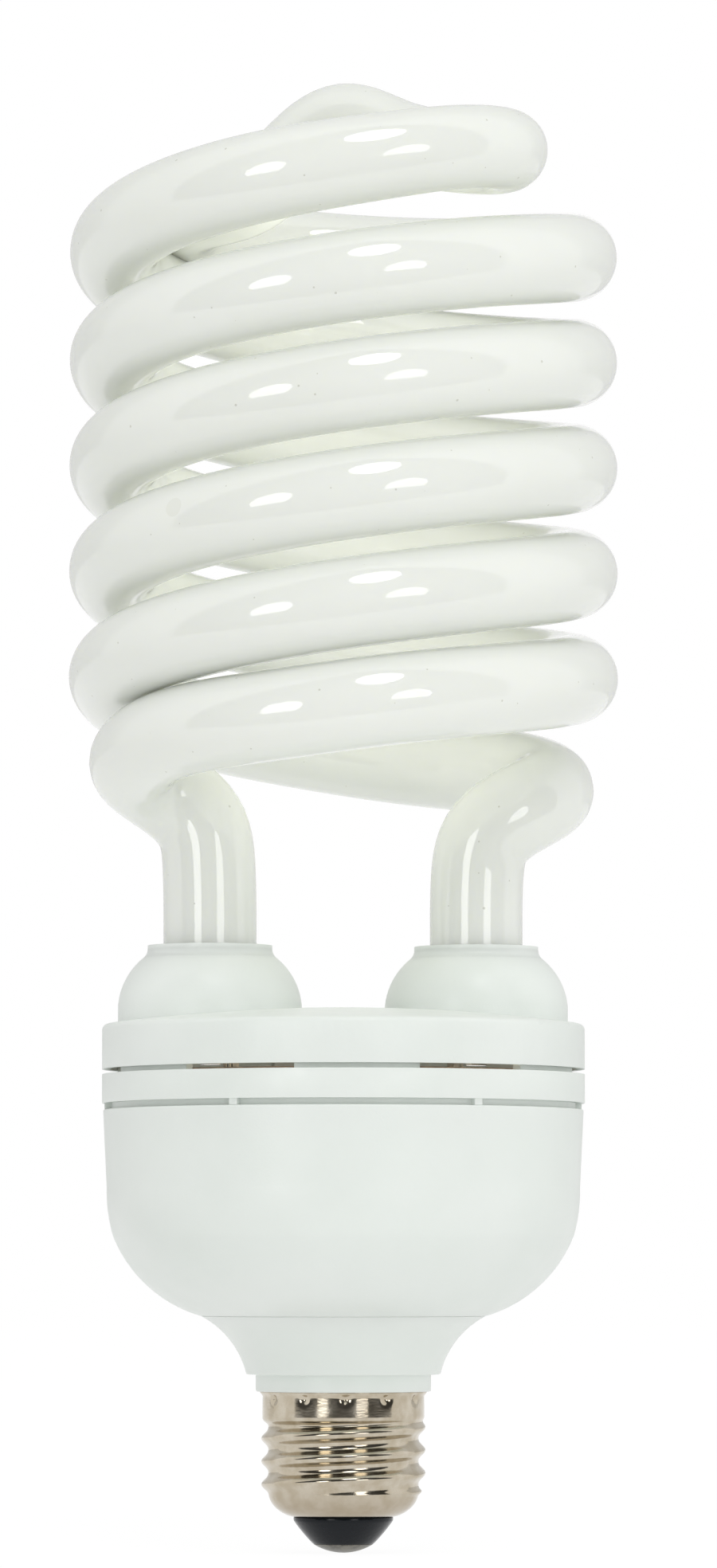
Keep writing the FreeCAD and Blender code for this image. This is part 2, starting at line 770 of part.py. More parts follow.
def tube_radius(along):
    """Stubby exhaust tip, sealed shoulder, wide leg, coil, and a slightly drawn-in crown."""
    reach = min(along, path_end - along)
    tip, seal = float(sizes.tip_rise), float(sizes.seal_rise)
    leg, coil = float(sizes.leg_radius), float(sizes.coil_tube_radius)
    radius = float(sizes.tip_radius)
    radius += (leg - radius) * blend(reach, tip, tip + seal)
    radius += (coil - leg) * blend(reach, float(sizes.leg_taper_start), float(sizes.leg_taper_end))
    radius += (float(sizes.crown_tube_radius) - coil) * blend(
        reach, path_end / 2 - float(sizes.crown_taper_start),
        path_end / 2 - float(sizes.crown_taper_end))
    return radius


# Stations lie closer where the centre line bends or the radius changes
stations = [0.0]
sealed = float(sizes.tip_rise + sizes.seal_rise)
while stations[-1] < path_end:
    here = stations[-1]
    bend = max(centre_line.curvature(min(path_end, here + ahead)) for ahead in (0.01, 2, 4, 6))
    step = min(9.6, 0.30 / max(bend, 1e-6))
    if min(here, path_end - here) < sealed + 10:
        step = min(step, 1.6)
    if len(stations) > 1:
        step = min(step, 1.35 * (stations[-1] - stations[-2]))
    stations.append(here + step)
stations = [s * path_end / stations[-1] for s in stations]

# Each ring stands square to the centre line, and the rings don't twist from one to the next
LINE_COUNT = 12
rings = []
side = FreeCAD.Vector(1, 0, 0)
for along in stations:
    middle = centre_line.value(along)
    ahead = centre_line.tangent(along)[0]
    side = (side - ahead * side.dot(ahead)).normalize()
    across = ahead.cross(side)
    reach = tube_radius(along) * outset(LINE_COUNT)
    spokes = [2 * math.pi * step / LINE_COUNT for step in range(LINE_COUNT)]
    rings.append([middle + (side * math.cos(angle) + across * math.sin(angle)) * reach
                  for angle in spokes])
skin = skin_through(rings, stations)

# The skin is cut into short lengths and closed with a disc at each end
SPAN_COUNT = len(stations) // 5
cuts = [stations[len(stations) * step // SPAN_COUNT] for step in range(SPAN_COUNT)]
cuts.append(stations[-1])
spans = []
for low, high in zip(cuts, cuts[1:]):
    piece = skin.copy()
    piece.segment(low, high, 0, LINE_COUNT)
    spans.append(piece.toShape())


def end_disc(face, along):
    """Closes the rim of a face that lies at one end of the tube."""
    spot = skin.value(along, 0)
    rims = [edge for edge in face.Edges if edge.isClosed()]
    rim = min(rims, key=lambda edge: (edge.valueAt(edge.FirstParameter) - spot).Length)
    return Part.Face(Part.Wire([rim]))


closed_solid("glass_spiral",
             spans + [end_disc(spans[0], 0.0), end_disc(spans[-1], path_end)])


# Circuit board: a brown phenolic disc on the vent ring's ledge, drilled for the wrap pins
board = new_body("circuit_board")
board_radius = spigot_bore - sizes.fit_gap
turned(board, "board_disc",
       [(0.0, board_foot), (board_radius, board_foot), (board_radius, board_top), (0.0, board_top)])
pin_hole = sizes.pin_width * 0.75
pin_spread = leg_spread
pin_offset = sizes.leg_radius / 2
drills = [
    turned(board, "pin_hole_" + name,
           [(0.0, board_foot - sizes.board_wall), (pin_hole, board_foot - sizes.board_wall),
            (pin_hole, board_top + sizes.board_wall), (0.0, board_top + sizes.board_wall)],
           offset={"x": pin_spread - pin_offset, "z": pin_offset * way}, kind="Groove")
    for name, way in (("front", 1.0), ("back", -1.0))]
around(board, "pin_holes", drills, 2)
turned_to_legs(board)

# Wrap pins: four square pins through the board, two by each leg
# Lamp leads: four wires from the sealed feet down to the board beside their pins
pins = []
leads = []
lead_rise = sizes.tip_rise + sizes.seal_rise * 0.2
for side_name, way in (("right", 1.0), ("left", -1.0)):
    for end_name, turned_way in (("front", -1.0), ("back", 1.0)):
        name = side_name + "_" + end_name
        pin_x = (pin_spread - pin_offset) * way
        pin_y = pin_offset * turned_way
        pins.append(block("pin_" + name, sizes.pin_width, sizes.pin_width,
                          sizes.pin_rise + sizes.board_wall + sizes.pin_tail,
                          pin_x, pin_y, board_foot - sizes.pin_tail))
        leads.append(rod("lead_" + name, sizes.lead_radius, lead_rise,
                         pin_x + (sizes.pin_width / 2 + sizes.lead_radius) * way, pin_y, board_top))
turned_to_legs(grouped("wrap_pins", pins))
turned_to_legs(grouped("lamp_leads", leads))

# Bulk capacitors: two electrolytic cans with a crimped neck, hanging side by side
cans = []
for name, way in (("right", 1.0), ("left", -1.0)):
    can = new_body("bulk_can_" + name)
    can_foot = board_foot - sizes.bulk_length
    crimp_foot = board_foot - sizes.crimp_drop
    crimp_head = crimp_foot + sizes.crimp_rise
    turned(can, "can_" + name,
           [(0.0, can_foot),
            (layout.bulk_radius - sizes.can_edge, can_foot),
            (layout.bulk_radius, can_foot + sizes.can_edge),
            (layout.bulk_radius, crimp_foot),
            (layout.bulk_radius - sizes.crimp_depth, crimp_foot + sizes.crimp_rise / 2),
            (layout.bulk_radius, crimp_head),
            (layout.bulk_radius, board_foot - sizes.can_edge),
            (layout.bulk_radius - sizes.can_edge, board_foot),
            (0.0, board_foot)],
           offset={"x": (layout.bulk_radius + layout.bulk_gap) * way, "z": layout.bulk_back * -1})
    cans.append(can)
grouped("bulk_capacitors", cans)

# Ballast choke: an E-core pair, its bobbin and the copper winding
core_foot = board_foot - sizes.core_rise
core_y = layout.choke_front * -1
window_wide = (layout.core_width - layout.core_leg * 3) / 2 + layout.core_leg / 2
window_tall = sizes.core_rise - layout.core_leg
window_foot = core_foot + layout.core_leg / 2
window_x = (layout.core_leg + window_wide) / 2
core_block = block("core_block", layout.core_width, layout.core_depth, sizes.core_rise,
                   0.0, core_y, core_foot)
core_windows = fused("core_windows", [
    block("core_window_" + name, window_wide, layout.core_depth + sizes.core_rise, window_tall,
          window_x * way, core_y, window_foot)
    for name, way in (("right", 1.0), ("left", -1.0))])
cut("choke_core", core_block, core_windows)
sleeve_wide = layout.core_leg + sizes.bobbin_wall * 2 + sizes.fit_gap * 2
sleeve_deep = layout.core_depth + sizes.bobbin_wall * 2 + sizes.fit_gap * 2
flange_wide = layout.core_leg + window_wide * 2 - sizes.fit_gap * 2
bobbin_tall = window_tall - sizes.fit_gap * 2
bobbin_foot = window_foot + sizes.fit_gap
flange_top = bobbin_foot + bobbin_tall - sizes.bobbin_wall
bobbin_solid = fused("bobbin_solid", [
    block("bobbin_sleeve", sleeve_wide, sleeve_deep, bobbin_tall, 0.0, core_y, bobbin_foot),
    block("bobbin_foot_flange", flange_wide, layout.bobbin_depth, sizes.bobbin_wall,
          0.0, core_y, bobbin_foot),
    block("bobbin_head_flange", flange_wide, layout.bobbin_depth, sizes.bobbin_wall,
          0.0, core_y, flange_top)])
cut("choke_bobbin", bobbin_solid,
    block("bobbin_bore", layout.core_leg + sizes.fit_gap * 2, layout.core_depth + sizes.fit_gap * 2,
          window_tall, 0.0, core_y, window_foot))
winding_tall = bobbin_tall - sizes.bobbin_wall * 2
winding_foot = bobbin_foot + sizes.bobbin_wall
cut("choke_winding",
    block("winding_block", flange_wide - sizes.fit_gap * 2, layout.bobbin_depth - sizes.winding_inset * 2,
          winding_tall, 0.0, core_y, winding_foot),
    block("winding_bore", sleeve_wide, sleeve_deep, winding_tall, 0.0, core_y, winding_foot))

# Drive toroid: a ferrite ring against the board with a few turns of wire round its section
toroid_x, toroid_y = layout.toroid_out, layout.toroid_front * -1
section_wide = layout.toroid_radius - layout.toroid_bore
half_diagonal = math.hypot(float(section_wide), float(sizes.toroid_rise)) / 2
toroid_middle = board_foot - half_diagonal - sizes.lead_radius * 2
toroid_foot = toroid_middle - sizes.toroid_rise / 2
cut("toroid_core",
    rod("toroid_disc", layout.toroid_radius, sizes.toroid_rise, toroid_x, toroid_y, toroid_foot),
    rod("toroid_hole", layout.toroid_bore, sizes.toroid_rise, toroid_x, toroid_y, toroid_foot))
turns = []
for number in range(6):
    angle = 30 + 60 * number
    loop = doc.addObject("Part::Torus", "toroid_turn_%d" % (number + 1))
    bind(loop, "Radius1", sizes.lead_radius + half_diagonal)
    bind(loop, "Radius2", sizes.lead_radius)
    tilt = FreeCAD.Rotation(FreeCAD.Vector(0, 0, 1), round_axis(1.0, angle + 90, 0))
    loop.Placement = FreeCAD.Placement(FreeCAD.Vector(), tilt)
    spoke = (layout.toroid_radius + layout.toroid_bore) / 2
    place(loop, toroid_x + spoke * math.cos(math.radians(angle)),
          toroid_y + spoke * math.sin(math.radians(angle)), toroid_middle)
    turns.append(loop)
grouped("toroid_winding", turns)

# Power transistors: two moulded packages hanging by their three legs, tab downwards
packages = []
for name, y in (("front", layout.transistor_gap * -1), ("back", layout.transistor_gap)):
    x = layout.transistor_out * -1
    body_foot = board_foot - sizes.transistor_drop - sizes.transistor_rise
    legs = [block("leg_%s_%d" % (name, n + 2), sizes.transistor_leg, sizes.transistor_leg,
                  sizes.transistor_drop + sizes.transistor_leg, x, y + layout.transistor_step * n,
                  board_foot - sizes.transistor_drop - sizes.transistor_leg)
            for n in (-1, 0, 1)]
    moulding = block("package_" + name, layout.transistor_deep, layout.transistor_width,
                     sizes.transistor_rise, x, y, body_foot)
    tab = block("tab_" + name, sizes.tab_wall, layout.transistor_width, sizes.tab_drop,
                x - layout.transistor_deep / 2 + sizes.tab_wall / 2, y, body_foot - sizes.tab_drop)
    hole = rod("tab_hole_" + name, sizes.tab_hole, layout.transistor_deep * 2, x - layout.transistor_deep, y,
               body_foot - sizes.tab_drop / 2, FreeCAD.Vector(1, 0, 0))
    drilled = cut("drilled_tab_" + name, tab, hole)
    packages.append(fused("transistor_" + name, [moulding, drilled] + legs))
grouped("power_transistors", packages)

# Film capacitors: two dipped blocks with rounded edges
films = []
for name, x, y in (("front", layout.film_out, layout.film_front), ("back", layout.film_in, layout.film_back)):
    plain = block("film_block_" + name, layout.film_deep, layout.film_width, sizes.film_rise,
                  x, y, board_foot - sizes.film_rise)
    soft = doc.addObject("Part::Fillet", "film_" + name)
    soft.Base = plain
    doc.recompute()
    soft.Edges = [(n + 1, float(layout.film_deep) / 4, float(layout.film_deep) / 4)
                  for n in range(len(plain.Shape.Edges))]
    films.append(soft)
grouped("film_capacitors", films)


def axial(name, radius, length, x, y, direction):
    """A round body with its wire tails, lying against the board's underside."""
    centre_z = board_foot - radius
    tail = layout.tail_length
    if direction.x:
        start = rod(name + "_body", radius, length, x - length / 2, y, centre_z, direction)
        wire = rod(name + "_wire", sizes.lead_radius, length + tail * 2,
                   x - length / 2 - tail, y, centre_z, direction)
    else:
        start = rod(name + "_body", radius, length, x, y - length / 2, centre_z, direction)
        wire = rod(name + "_wire", sizes.lead_radius, length + tail * 2,
                   x, y - length / 2 - tail, centre_z, direction)
    return fused(name, [start, wire])


along_x = FreeCAD.Vector(1, 0, 0)
along_y = FreeCAD.Vector(0, 1, 0)
# Rectifier diodes: four in a row at the back
grouped("rectifier_diodes", [
    axial("diode_%d" % (n + 1), layout.diode_radius, layout.diode_length,
          layout.diode_step * (n - 2) - layout.diode_step / 2, layout.diode_back, along_y)
    for n in range(4)])
# Resistors: two at the back left and two at the front
grouped("resistors", [
    axial("resistor_%d" % (n + 1), layout.resistor_radius, layout.resistor_length, x, y, along_x)
    for n, (x, y) in enumerate((
        (layout.resistor_out * -1, layout.resistor_back),
        (layout.resistor_out * -1, layout.resistor_back + layout.resistor_step),
        (layout.resistor_step * -2, layout.resistor_front * -1),
        (layout.resistor_step * 2, layout.resistor_front * -1)))])
# Fuse: a glass cartridge at the front right
axial("fuse", layout.fuse_radius, layout.fuse_length, layout.fuse_out, layout.fuse_front * -1, along_x)

# Line choke: a ferrite drum with its winding
drum_x, drum_y = layout.drum_out * -1, layout.drum_front * -1
drum_foot = board_foot - sizes.drum_rise
waist = layout.drum_waist
fused("line_choke_core", [
    rod("drum_waist", waist, sizes.drum_rise, drum_x, drum_y, drum_foot),
    rod("drum_foot", layout.drum_radius, sizes.drum_flange, drum_x, drum_y, drum_foot),
    rod("drum_head", layout.drum_radius, sizes.drum_flange, drum_x, drum_y,
        board_foot - sizes.drum_flange)])
drum_winding = sizes.drum_rise - sizes.drum_flange * 2
cut("line_choke_winding",
    rod("drum_wire", layout.drum_radius - sizes.drum_inset, drum_winding, drum_x, drum_y,
        drum_foot + sizes.drum_flange),
    rod("drum_wire_bore", waist, drum_winding, drum_x, drum_y, drum_foot + sizes.drum_flange))

# Thermistor: a coated disc standing on edge
rod("thermistor", layout.disc_radius, layout.disc_wall, layout.disc_out, layout.disc_back,
    board_foot - layout.disc_radius, along_y)

# Live wire: straight down the middle to the contact
rod("live_wire", sizes.wire_radius, board_foot - sizes.contact_rise, 0.0, 0.0, sizes.contact_rise)

# Neutral wire: down beside the live wire, then out to the shell's wall under the neck's spigot
wire_x = sizes.neutral_out * -1
knee_height = stake_foot + sizes.wire_radius * 7
end_height = stake_foot - sizes.wire_radius * 4
end_x = (thread_inside - sizes.wire_radius * 1.6) * -1
knee = FreeCAD.Vector(float(wire_x), 0, float(knee_height))
slant = FreeCAD.Vector(float(end_x), 0, float(end_height)) - knee
knee_ball = doc.addObject("Part::Sphere", "wire_knee")
bind(knee_ball, "Radius", sizes.wire_radius)
place(knee_ball, wire_x, 0.0, knee_height)
fused("neutral_wire", [
    rod("wire_drop", sizes.wire_radius, board_foot - knee_height, wire_x, 0.0, knee_height),
    knee_ball,
    rod("wire_slant", sizes.wire_radius, slant.Length, wire_x, 0.0, knee_height, slant)])

NODES = [
    "glass_spiral", "tube_cement", "top_cap", "vent_ring", "lower_housing", "neck",
    "screw_shell", "insulator", "centre_contact", "circuit_board", "wrap_pins", "lamp_leads",
    "bulk_capacitors", "choke_core", "choke_bobbin", "choke_winding", "toroid_core",
    "toroid_winding", "power_transistors", "film_capacitors", "rectifier_diodes", "resistors",
    "fuse", "line_choke_core", "line_choke_winding", "thermistor", "live_wire", "neutral_wire"]

# Nothing is written unless every object computed and every piece is a sound solid
doc.recompute()
broken = [thing.Label for thing in doc.Objects
          if "Invalid" in thing.State or "Error" in thing.State]
if broken:
    raise RuntimeError("objects that did not compute: %s" % broken)
os.makedirs("parts", exist_ok=True)
for node in NODES:
    piece = doc.getObjectsByLabel(node)[0]
    shape = piece.Shape
    if shape.isNull() or not shape.isValid() or not shape.Solids:
        raise RuntimeError("no sound solid in " + node)
for node in NODES:
    shape = doc.getObjectsByLabel(node)[0].Shape
    shape.exportStep(os.path.join("parts", node + ".step"))
    print("%-20s %2d solids %10.1f mm3" % (node, len(shape.Solids), shape.Volume))
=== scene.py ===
import math
import bmesh
import bpy
import numpy as np
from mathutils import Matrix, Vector


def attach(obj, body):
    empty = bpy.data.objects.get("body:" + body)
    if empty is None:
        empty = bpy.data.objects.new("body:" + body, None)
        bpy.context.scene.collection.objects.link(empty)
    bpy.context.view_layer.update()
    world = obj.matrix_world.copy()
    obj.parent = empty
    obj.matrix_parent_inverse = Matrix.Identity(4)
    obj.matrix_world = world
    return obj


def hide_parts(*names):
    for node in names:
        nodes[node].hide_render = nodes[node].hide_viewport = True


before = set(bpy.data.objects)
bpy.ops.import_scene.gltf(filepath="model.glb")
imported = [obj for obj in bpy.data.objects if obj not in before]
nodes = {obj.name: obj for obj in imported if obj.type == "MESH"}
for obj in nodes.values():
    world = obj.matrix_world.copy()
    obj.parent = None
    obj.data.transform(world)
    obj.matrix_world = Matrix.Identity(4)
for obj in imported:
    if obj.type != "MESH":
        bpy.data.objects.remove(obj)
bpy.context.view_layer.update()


# Centre contact: a small brass disc with a domed underside, dulled by solder and handling.
# It is pressed from sheet and riveted to the insulator, and the live wire is soldered to it.
MM = 0.001


def node(tree, kind, inputs=None, **settings):
    """One node of a shader or geometry tree, with its sockets filled or linked."""
    made = tree.nodes.new(kind)
    for name, value in settings.items():
        setattr(made, name, value)
    for name, value in (inputs or {}).items():
        if isinstance(value, bpy.types.NodeSocket):
            tree.links.new(value, made.inputs[name])
        else:
            made.inputs[name].default_value = value
    return made


def finish(name, colour, roughness, **sockets):
    """A material whose plain numbers sit on its own shader."""
    made = bpy.data.materials.new(name)
    made.use_nodes = True
    shader = made.node_tree.nodes["Principled BSDF"]
    shader.inputs["Base Color"].default_value = (*colour, 1.0)
    shader.inputs["Roughness"].default_value = roughness
    for socket, value in sockets.items():
        shader.inputs[socket.replace("_", " ")].default_value = value
    return made


def pattern(material, scale, detail=4.0, stretch=(1.0, 1.0, 1.0)):
    """Noise in the object's own space, in bumps per metre."""
    tree = material.node_tree
    place = node(tree, "ShaderNodeTexCoord")
    drawn = node(tree, "ShaderNodeMapping", {"Vector": place.outputs["Object"], "Scale": stretch})
    return node(tree, "ShaderNodeTexNoise", {"Vector": drawn.outputs["Vector"], "Scale": scale,
                                             "Detail": detail}).outputs["Fac"]


def mottled(material, fac, low_colour, high_colour, low=0.35, high=0.65):
    """Colours the surface between two tones where the pattern runs from low to high."""
    tree = material.node_tree
    ramp = node(tree, "ShaderNodeValToRGB", {"Fac": fac})
    tones = ((low, low_colour), (high, high_colour))
    for stop, (place, colour) in zip(ramp.color_ramp.elements, tones):
        stop.position = place
        stop.color = (*colour, 1.0)
    tree.links.new(ramp.outputs["Color"], tree.nodes["Principled BSDF"].inputs["Base Color"])


def worn(material, fac, low_roughness, high_roughness):
    """Varies the gloss with the pattern."""
    tree = material.node_tree
    spread = node(tree, "ShaderNodeMapRange", {"Value": fac, "From Min": 0.3, "From Max": 0.7,
                                               "To Min": low_roughness, "To Max": high_roughness})
    tree.links.new(spread.outputs["Result"], tree.nodes["Principled BSDF"].inputs["Roughness"])


def raised(material, fac, height, strength=1.0, socket="Normal"):
    """Lifts the surface by the pattern, by a height in metres."""
    tree = material.node_tree
    bump = node(tree, "ShaderNodeBump", {"Height": fac, "Distance": height, "Strength": strength})
    tree.links.new(bump.outputs["Normal"], tree.nodes["Principled BSDF"].inputs[socket])


ON_AXIS = 1e-6


def outline(corners, arcs=None, edge=0.3, arc_step=1.0):
    """Half section of a turned piece in millimetres, with its corners rounded off."""
    line = []
    for i, corner in enumerate(corners):
        start, end = np.array(corner), np.array(corners[(i + 1) % len(corners)])
        line.append((start, True))
        if i in (arcs or {}):
            radius, side = arcs[i]
            half = np.linalg.norm(end - start) / 2
            along = (end - start) / (2 * half)
            across = np.array((-along[1], along[0])) * side
            centre = (start + end) / 2 - across * math.sqrt(radius ** 2 - half ** 2)
            swing = 2 * math.asin(half / radius)
            steps = max(6, math.ceil(radius * swing / arc_step))
            for angle in (swing * (step / steps - 0.5) for step in range(1, steps)):
                out = across * math.cos(angle) + along * math.sin(angle)
                line.append((centre + out * radius, False))
    soft = []
    for i, (spot, corner) in enumerate(line):
        before, after = line[i - 1][0] - spot, line[(i + 1) % len(line)][0] - spot
        if not corner or spot[0] < ON_AXIS:
            soft.append(spot)
            continue
        enter = spot + before * min(0.45, edge / np.linalg.norm(before))
        leave = spot + after * min(0.45, edge / np.linalg.norm(after))
        for share in (0.0, 0.25, 0.5, 0.75, 1.0):
            rest = 1 - share
            soft.append(enter * rest ** 2 + spot * 2 * share * rest + leave * share ** 2)
    return soft


def as_piece(name, mesh, material):
    """Puts a finished bmesh into the scene as an object of its own, with smooth faces."""
    bmesh.ops.recalc_face_normals(mesh, faces=mesh.faces)
    for face in mesh.faces:
        face.smooth = True
    data = bpy.data.meshes.new(name)
    mesh.to_mesh(data)
    mesh.free()
    data.materials.append(material)
    made = bpy.data.objects.new(name, data)
    bpy.context.scene.collection.objects.link(made)
    return made


def turned(name, line, material, around=160, centre=(0.0, 0.0)):
    """Turns a half section round an upright axis into one closed piece."""
    mesh = bmesh.new()
    spokes = [(math.cos(2 * math.pi * i / around), math.sin(2 * math.pi * i / around))
              for i in range(around)]
    rings = []
    for radius, height in line:
        if radius < ON_AXIS:
            rings.append([mesh.verts.new((centre[0] * MM, centre[1] * MM, height * MM))] * around)
        else:
            rings.append([mesh.verts.new(((centre[0] + radius * x) * MM,
                                          (centre[1] + radius * y) * MM, height * MM))
                          for x, y in spokes])
    for ring, after in zip(rings, rings[1:] + rings[:1]):
        for i in range(around):
            corners = list(dict.fromkeys((ring[i - 1], ring[i], after[i], after[i - 1])))
            if len(corners) > 2:
                mesh.faces.new(corners)
    return as_piece(name, mesh, material)


def crisp(piece):
    """Keeps flat faces flat in the shading beside their rounded edges."""
    piece.modifiers.new("flat_faces", "WEIGHTED_NORMAL").weight = 80


def stands_for(piece, slot, *covered):
    """Attaches a new piece to the root body and hides the nodes that it stands for. The slot is not
    used.
    """
    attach(piece, "root")
    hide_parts(*covered)


CONTACT_RADIUS = 4.8
CONTACT_RISE = 1.4
solder = finish("dull_solder", (0.16, 0.15, 0.13), 0.42, Metallic=1.0)
solder_grain = pattern(solder, 900.0)
mottled(solder, solder_grain, (0.10, 0.095, 0.08), (0.22, 0.21, 0.18))
worn(solder, solder_grain, 0.26, 0.46)
raised(solder, solder_grain, 0.00006)
dome_curve = (CONTACT_RADIUS ** 2 / CONTACT_RISE + CONTACT_RISE) / 2
contact = turned("contact_button", outline(
    [(0.0, 0.0), (CONTACT_RADIUS, CONTACT_RISE), (0.0, CONTACT_RISE)],
    {0: (dome_curve, -1)}, edge=0.15, arc_step=0.4), solder, around=96)
stands_for(contact, "tin_contact", "centre_contact")


# Insulator: a cone of black vitreous glass, pressed hot into the foot of the screw shell.
# Its skin is fire polished, so it mirrors the lamps, with a few pits near the contact.
INSULATOR_RADIUS = 7.9
SHELL_FOOT = 5.7
RIM_RISE = 0.6
CONE_CURVE = 26.0
PLUG_INSET = 0.55
PLUG_RISE = 1.6
WIRE_BORE = 0.75
vitrite = finish("black_glass", (0.006, 0.008, 0.011), 0.09, IOR=1.52,
                 Specular_IOR_Level=0.18)
vitrite_pits = pattern(vitrite, 1600.0)
worn(vitrite, vitrite_pits, 0.07, 0.18)
raised(vitrite, vitrite_pits, 0.00003)
plug_radius = INSULATOR_RADIUS - PLUG_INSET
insulator = turned("glass_insulator", outline(
    [(WIRE_BORE, CONTACT_RISE), (CONTACT_RADIUS, CONTACT_RISE),
     (INSULATOR_RADIUS, SHELL_FOOT - RIM_RISE), (INSULATOR_RADIUS, SHELL_FOOT),
     (plug_radius, SHELL_FOOT), (plug_radius, SHELL_FOOT + PLUG_RISE),
     (WIRE_BORE, SHELL_FOOT + PLUG_RISE)], {1: (CONE_CURVE, -1)}, edge=0.2), vitrite, around=128)
crisp(insulator)
stands_for(insulator, "black_glass", "insulator")


# Screw shell: thin brass sheet, drawn, rolled with a knuckle thread and plated with nickel.
# Twelve punch marks below its flared lip stake it onto the neck's spigot.
SHELL_WALL = 0.4
SHELL_MOUTH = 8.05
SHOULDER_TOP = 9.9
SHOULDER_BOW = 2.3
SHOULDER_TUCK = 0.72
CREST_RADIUS = 13.02
THREAD_DEPTH = 1.1
THREAD_PITCH = 3.63
THREAD_ROUNDING = 1.25
CREST_AT_LEFT = 14.4
THREAD_FOOT = (8.8, 10.0)
THREAD_HEAD = (20.04, 21.44)
BAND_RADIUS = 12.85
LIP_RADIUS = 13.3
SHELL_TOP = 25.44
LIP_FOOT = 24.64
DENT_HEIGHT = 24.3
DENT_DEPTH = 0.42
DENT_WIDTH = 0.62
DENT_COUNT = 12
DENT_TURN = -88.3
# Painted shade: the shell's colour turns darker and browner towards its foot, between these heights
PAINTED_SHADE_FOOT = 6.0
PAINTED_SHADE_TOP = 11.0
PAINTED_SHADE_SHARE = 0.62
SHELL_AROUND = 288
SHELL_RINGS = 150


def blend(value, low, high):
    """Rises smoothly from 0 at low to 1 at high."""
    share = np.clip((value - low) / (high - low), 0.0, 1.0)
    return share * share * (3 - 2 * share)


def rolled_radius(angle, height):
    """Outside radius of the shell: shoulder, rolled thread, band, punch marks and lip."""
    rise = np.clip((SHOULDER_TOP - height) / (SHOULDER_TOP - SHELL_FOOT), 0.0, 1.0)
    crest = CREST_AT_LEFT + THREAD_PITCH * (angle - math.pi) / (2 * math.pi)
    wave = 0.5 + 0.5 * np.cos(2 * math.pi * (height - crest) / THREAD_PITCH)
    wave *= blend(height, *THREAD_FOOT)
    groove = THREAD_DEPTH * (1 - wave ** THREAD_ROUNDING)
    tuck = 1 - (1 - rise ** SHOULDER_BOW) ** SHOULDER_TUCK
    radius = CREST_RADIUS - groove * (1 - blend(height, *THREAD_HEAD))
    radius -= (CREST_RADIUS - THREAD_DEPTH - SHELL_MOUTH) * tuck
    radius += (BAND_RADIUS - CREST_RADIUS) * blend(height, *THREAD_HEAD)
    radius += (LIP_RADIUS - BAND_RADIUS) * blend(height, LIP_FOOT, SHELL_TOP)
    step = 2 * math.pi / DENT_COUNT
    away = (angle - math.radians(DENT_TURN) + step / 2) % step - step / 2
    mark = np.exp(-((away * BAND_RADIUS) ** 2 + (height - DENT_HEIGHT) ** 2) / DENT_WIDTH ** 2)
    return radius - DENT_DEPTH * mark


def overlaid(material, fac, colour):
    """Lays a second colour over the surface's own, by a share."""
    tree = material.node_tree
    base = tree.nodes["Principled BSDF"].inputs["Base Color"]
    mixed = node(tree, "ShaderNodeMix", {"Factor": fac}, data_type="RGBA")
    # The colour sockets share their names with others, so they are picked by number
    tree.links.new(base.links[0].from_socket, mixed.inputs[6])
    mixed.inputs[7].default_value = (*colour, 1.0)
    tree.links.new(mixed.outputs[2], base)


nickel = finish("nickel_plate", (0.53, 0.475, 0.38), 0.11, Metallic=1.0)
nickel_clouds = pattern(nickel, 420.0)
mottled(nickel, nickel_clouds, (0.47, 0.41, 0.31), (0.58, 0.525, 0.43))
tree = nickel.node_tree
place = node(tree, "ShaderNodeTexCoord")
spot = node(tree, "ShaderNodeSeparateXYZ", {"Vector": place.outputs["Object"]})
# Painted shade, darker and browner towards the shell's foot
painted_shade = node(tree, "ShaderNodeMapRange", {
    "Value": spot.outputs["Z"], "From Min": PAINTED_SHADE_FOOT * MM, "From Max": PAINTED_SHADE_TOP * MM,
    "To Min": PAINTED_SHADE_SHARE, "To Max": 0.0})
overlaid(nickel, painted_shade.outputs["Result"], (0.33, 0.27, 0.19))
worn(nickel, nickel_clouds, 0.09, 0.16)
raised(nickel, pattern(nickel, 900.0, stretch=(1.0, 1.0, 4.0)), 0.000006)
shell_mesh = bmesh.new()
angles = np.arange(SHELL_AROUND) * 2 * math.pi / SHELL_AROUND
heights = np.linspace(SHELL_FOOT, SHELL_TOP, SHELL_RINGS)
shell_rings = [[(rolled_radius(angle, height), angle, height) for angle in angles]
               for height in heights]
inside = [(SHELL_TOP, BAND_RADIUS - SHELL_WALL), (THREAD_HEAD[1], BAND_RADIUS - SHELL_WALL),
          (THREAD_HEAD[0], CREST_RADIUS - THREAD_DEPTH - SHELL_WALL),
          (SHOULDER_TOP + SHELL_WALL, CREST_RADIUS - THREAD_DEPTH - SHELL_WALL),
          (SHELL_FOOT + SHELL_WALL, INSULATOR_RADIUS - SHELL_WALL),
          (SHELL_FOOT, INSULATOR_RADIUS - SHELL_WALL)]
shell_rings += [[(radius, angle, height) for angle in angles] for height, radius in inside]
shell_verts = [[shell_mesh.verts.new((radius * math.cos(angle) * MM, radius * math.sin(angle) * MM,
                                      height * MM)) for radius, angle, height in ring]
               for ring in shell_rings]
for ring, after in zip(shell_verts, shell_verts[1:] + shell_verts[:1]):
    for i in range(SHELL_AROUND):
        shell_mesh.faces.new((ring[i - 1], ring[i], after[i], after[i - 1]))
screw_shell = as_piece("threaded_shell", shell_mesh, nickel)
stands_for(screw_shell, "nickel_shell", "screw_shell")


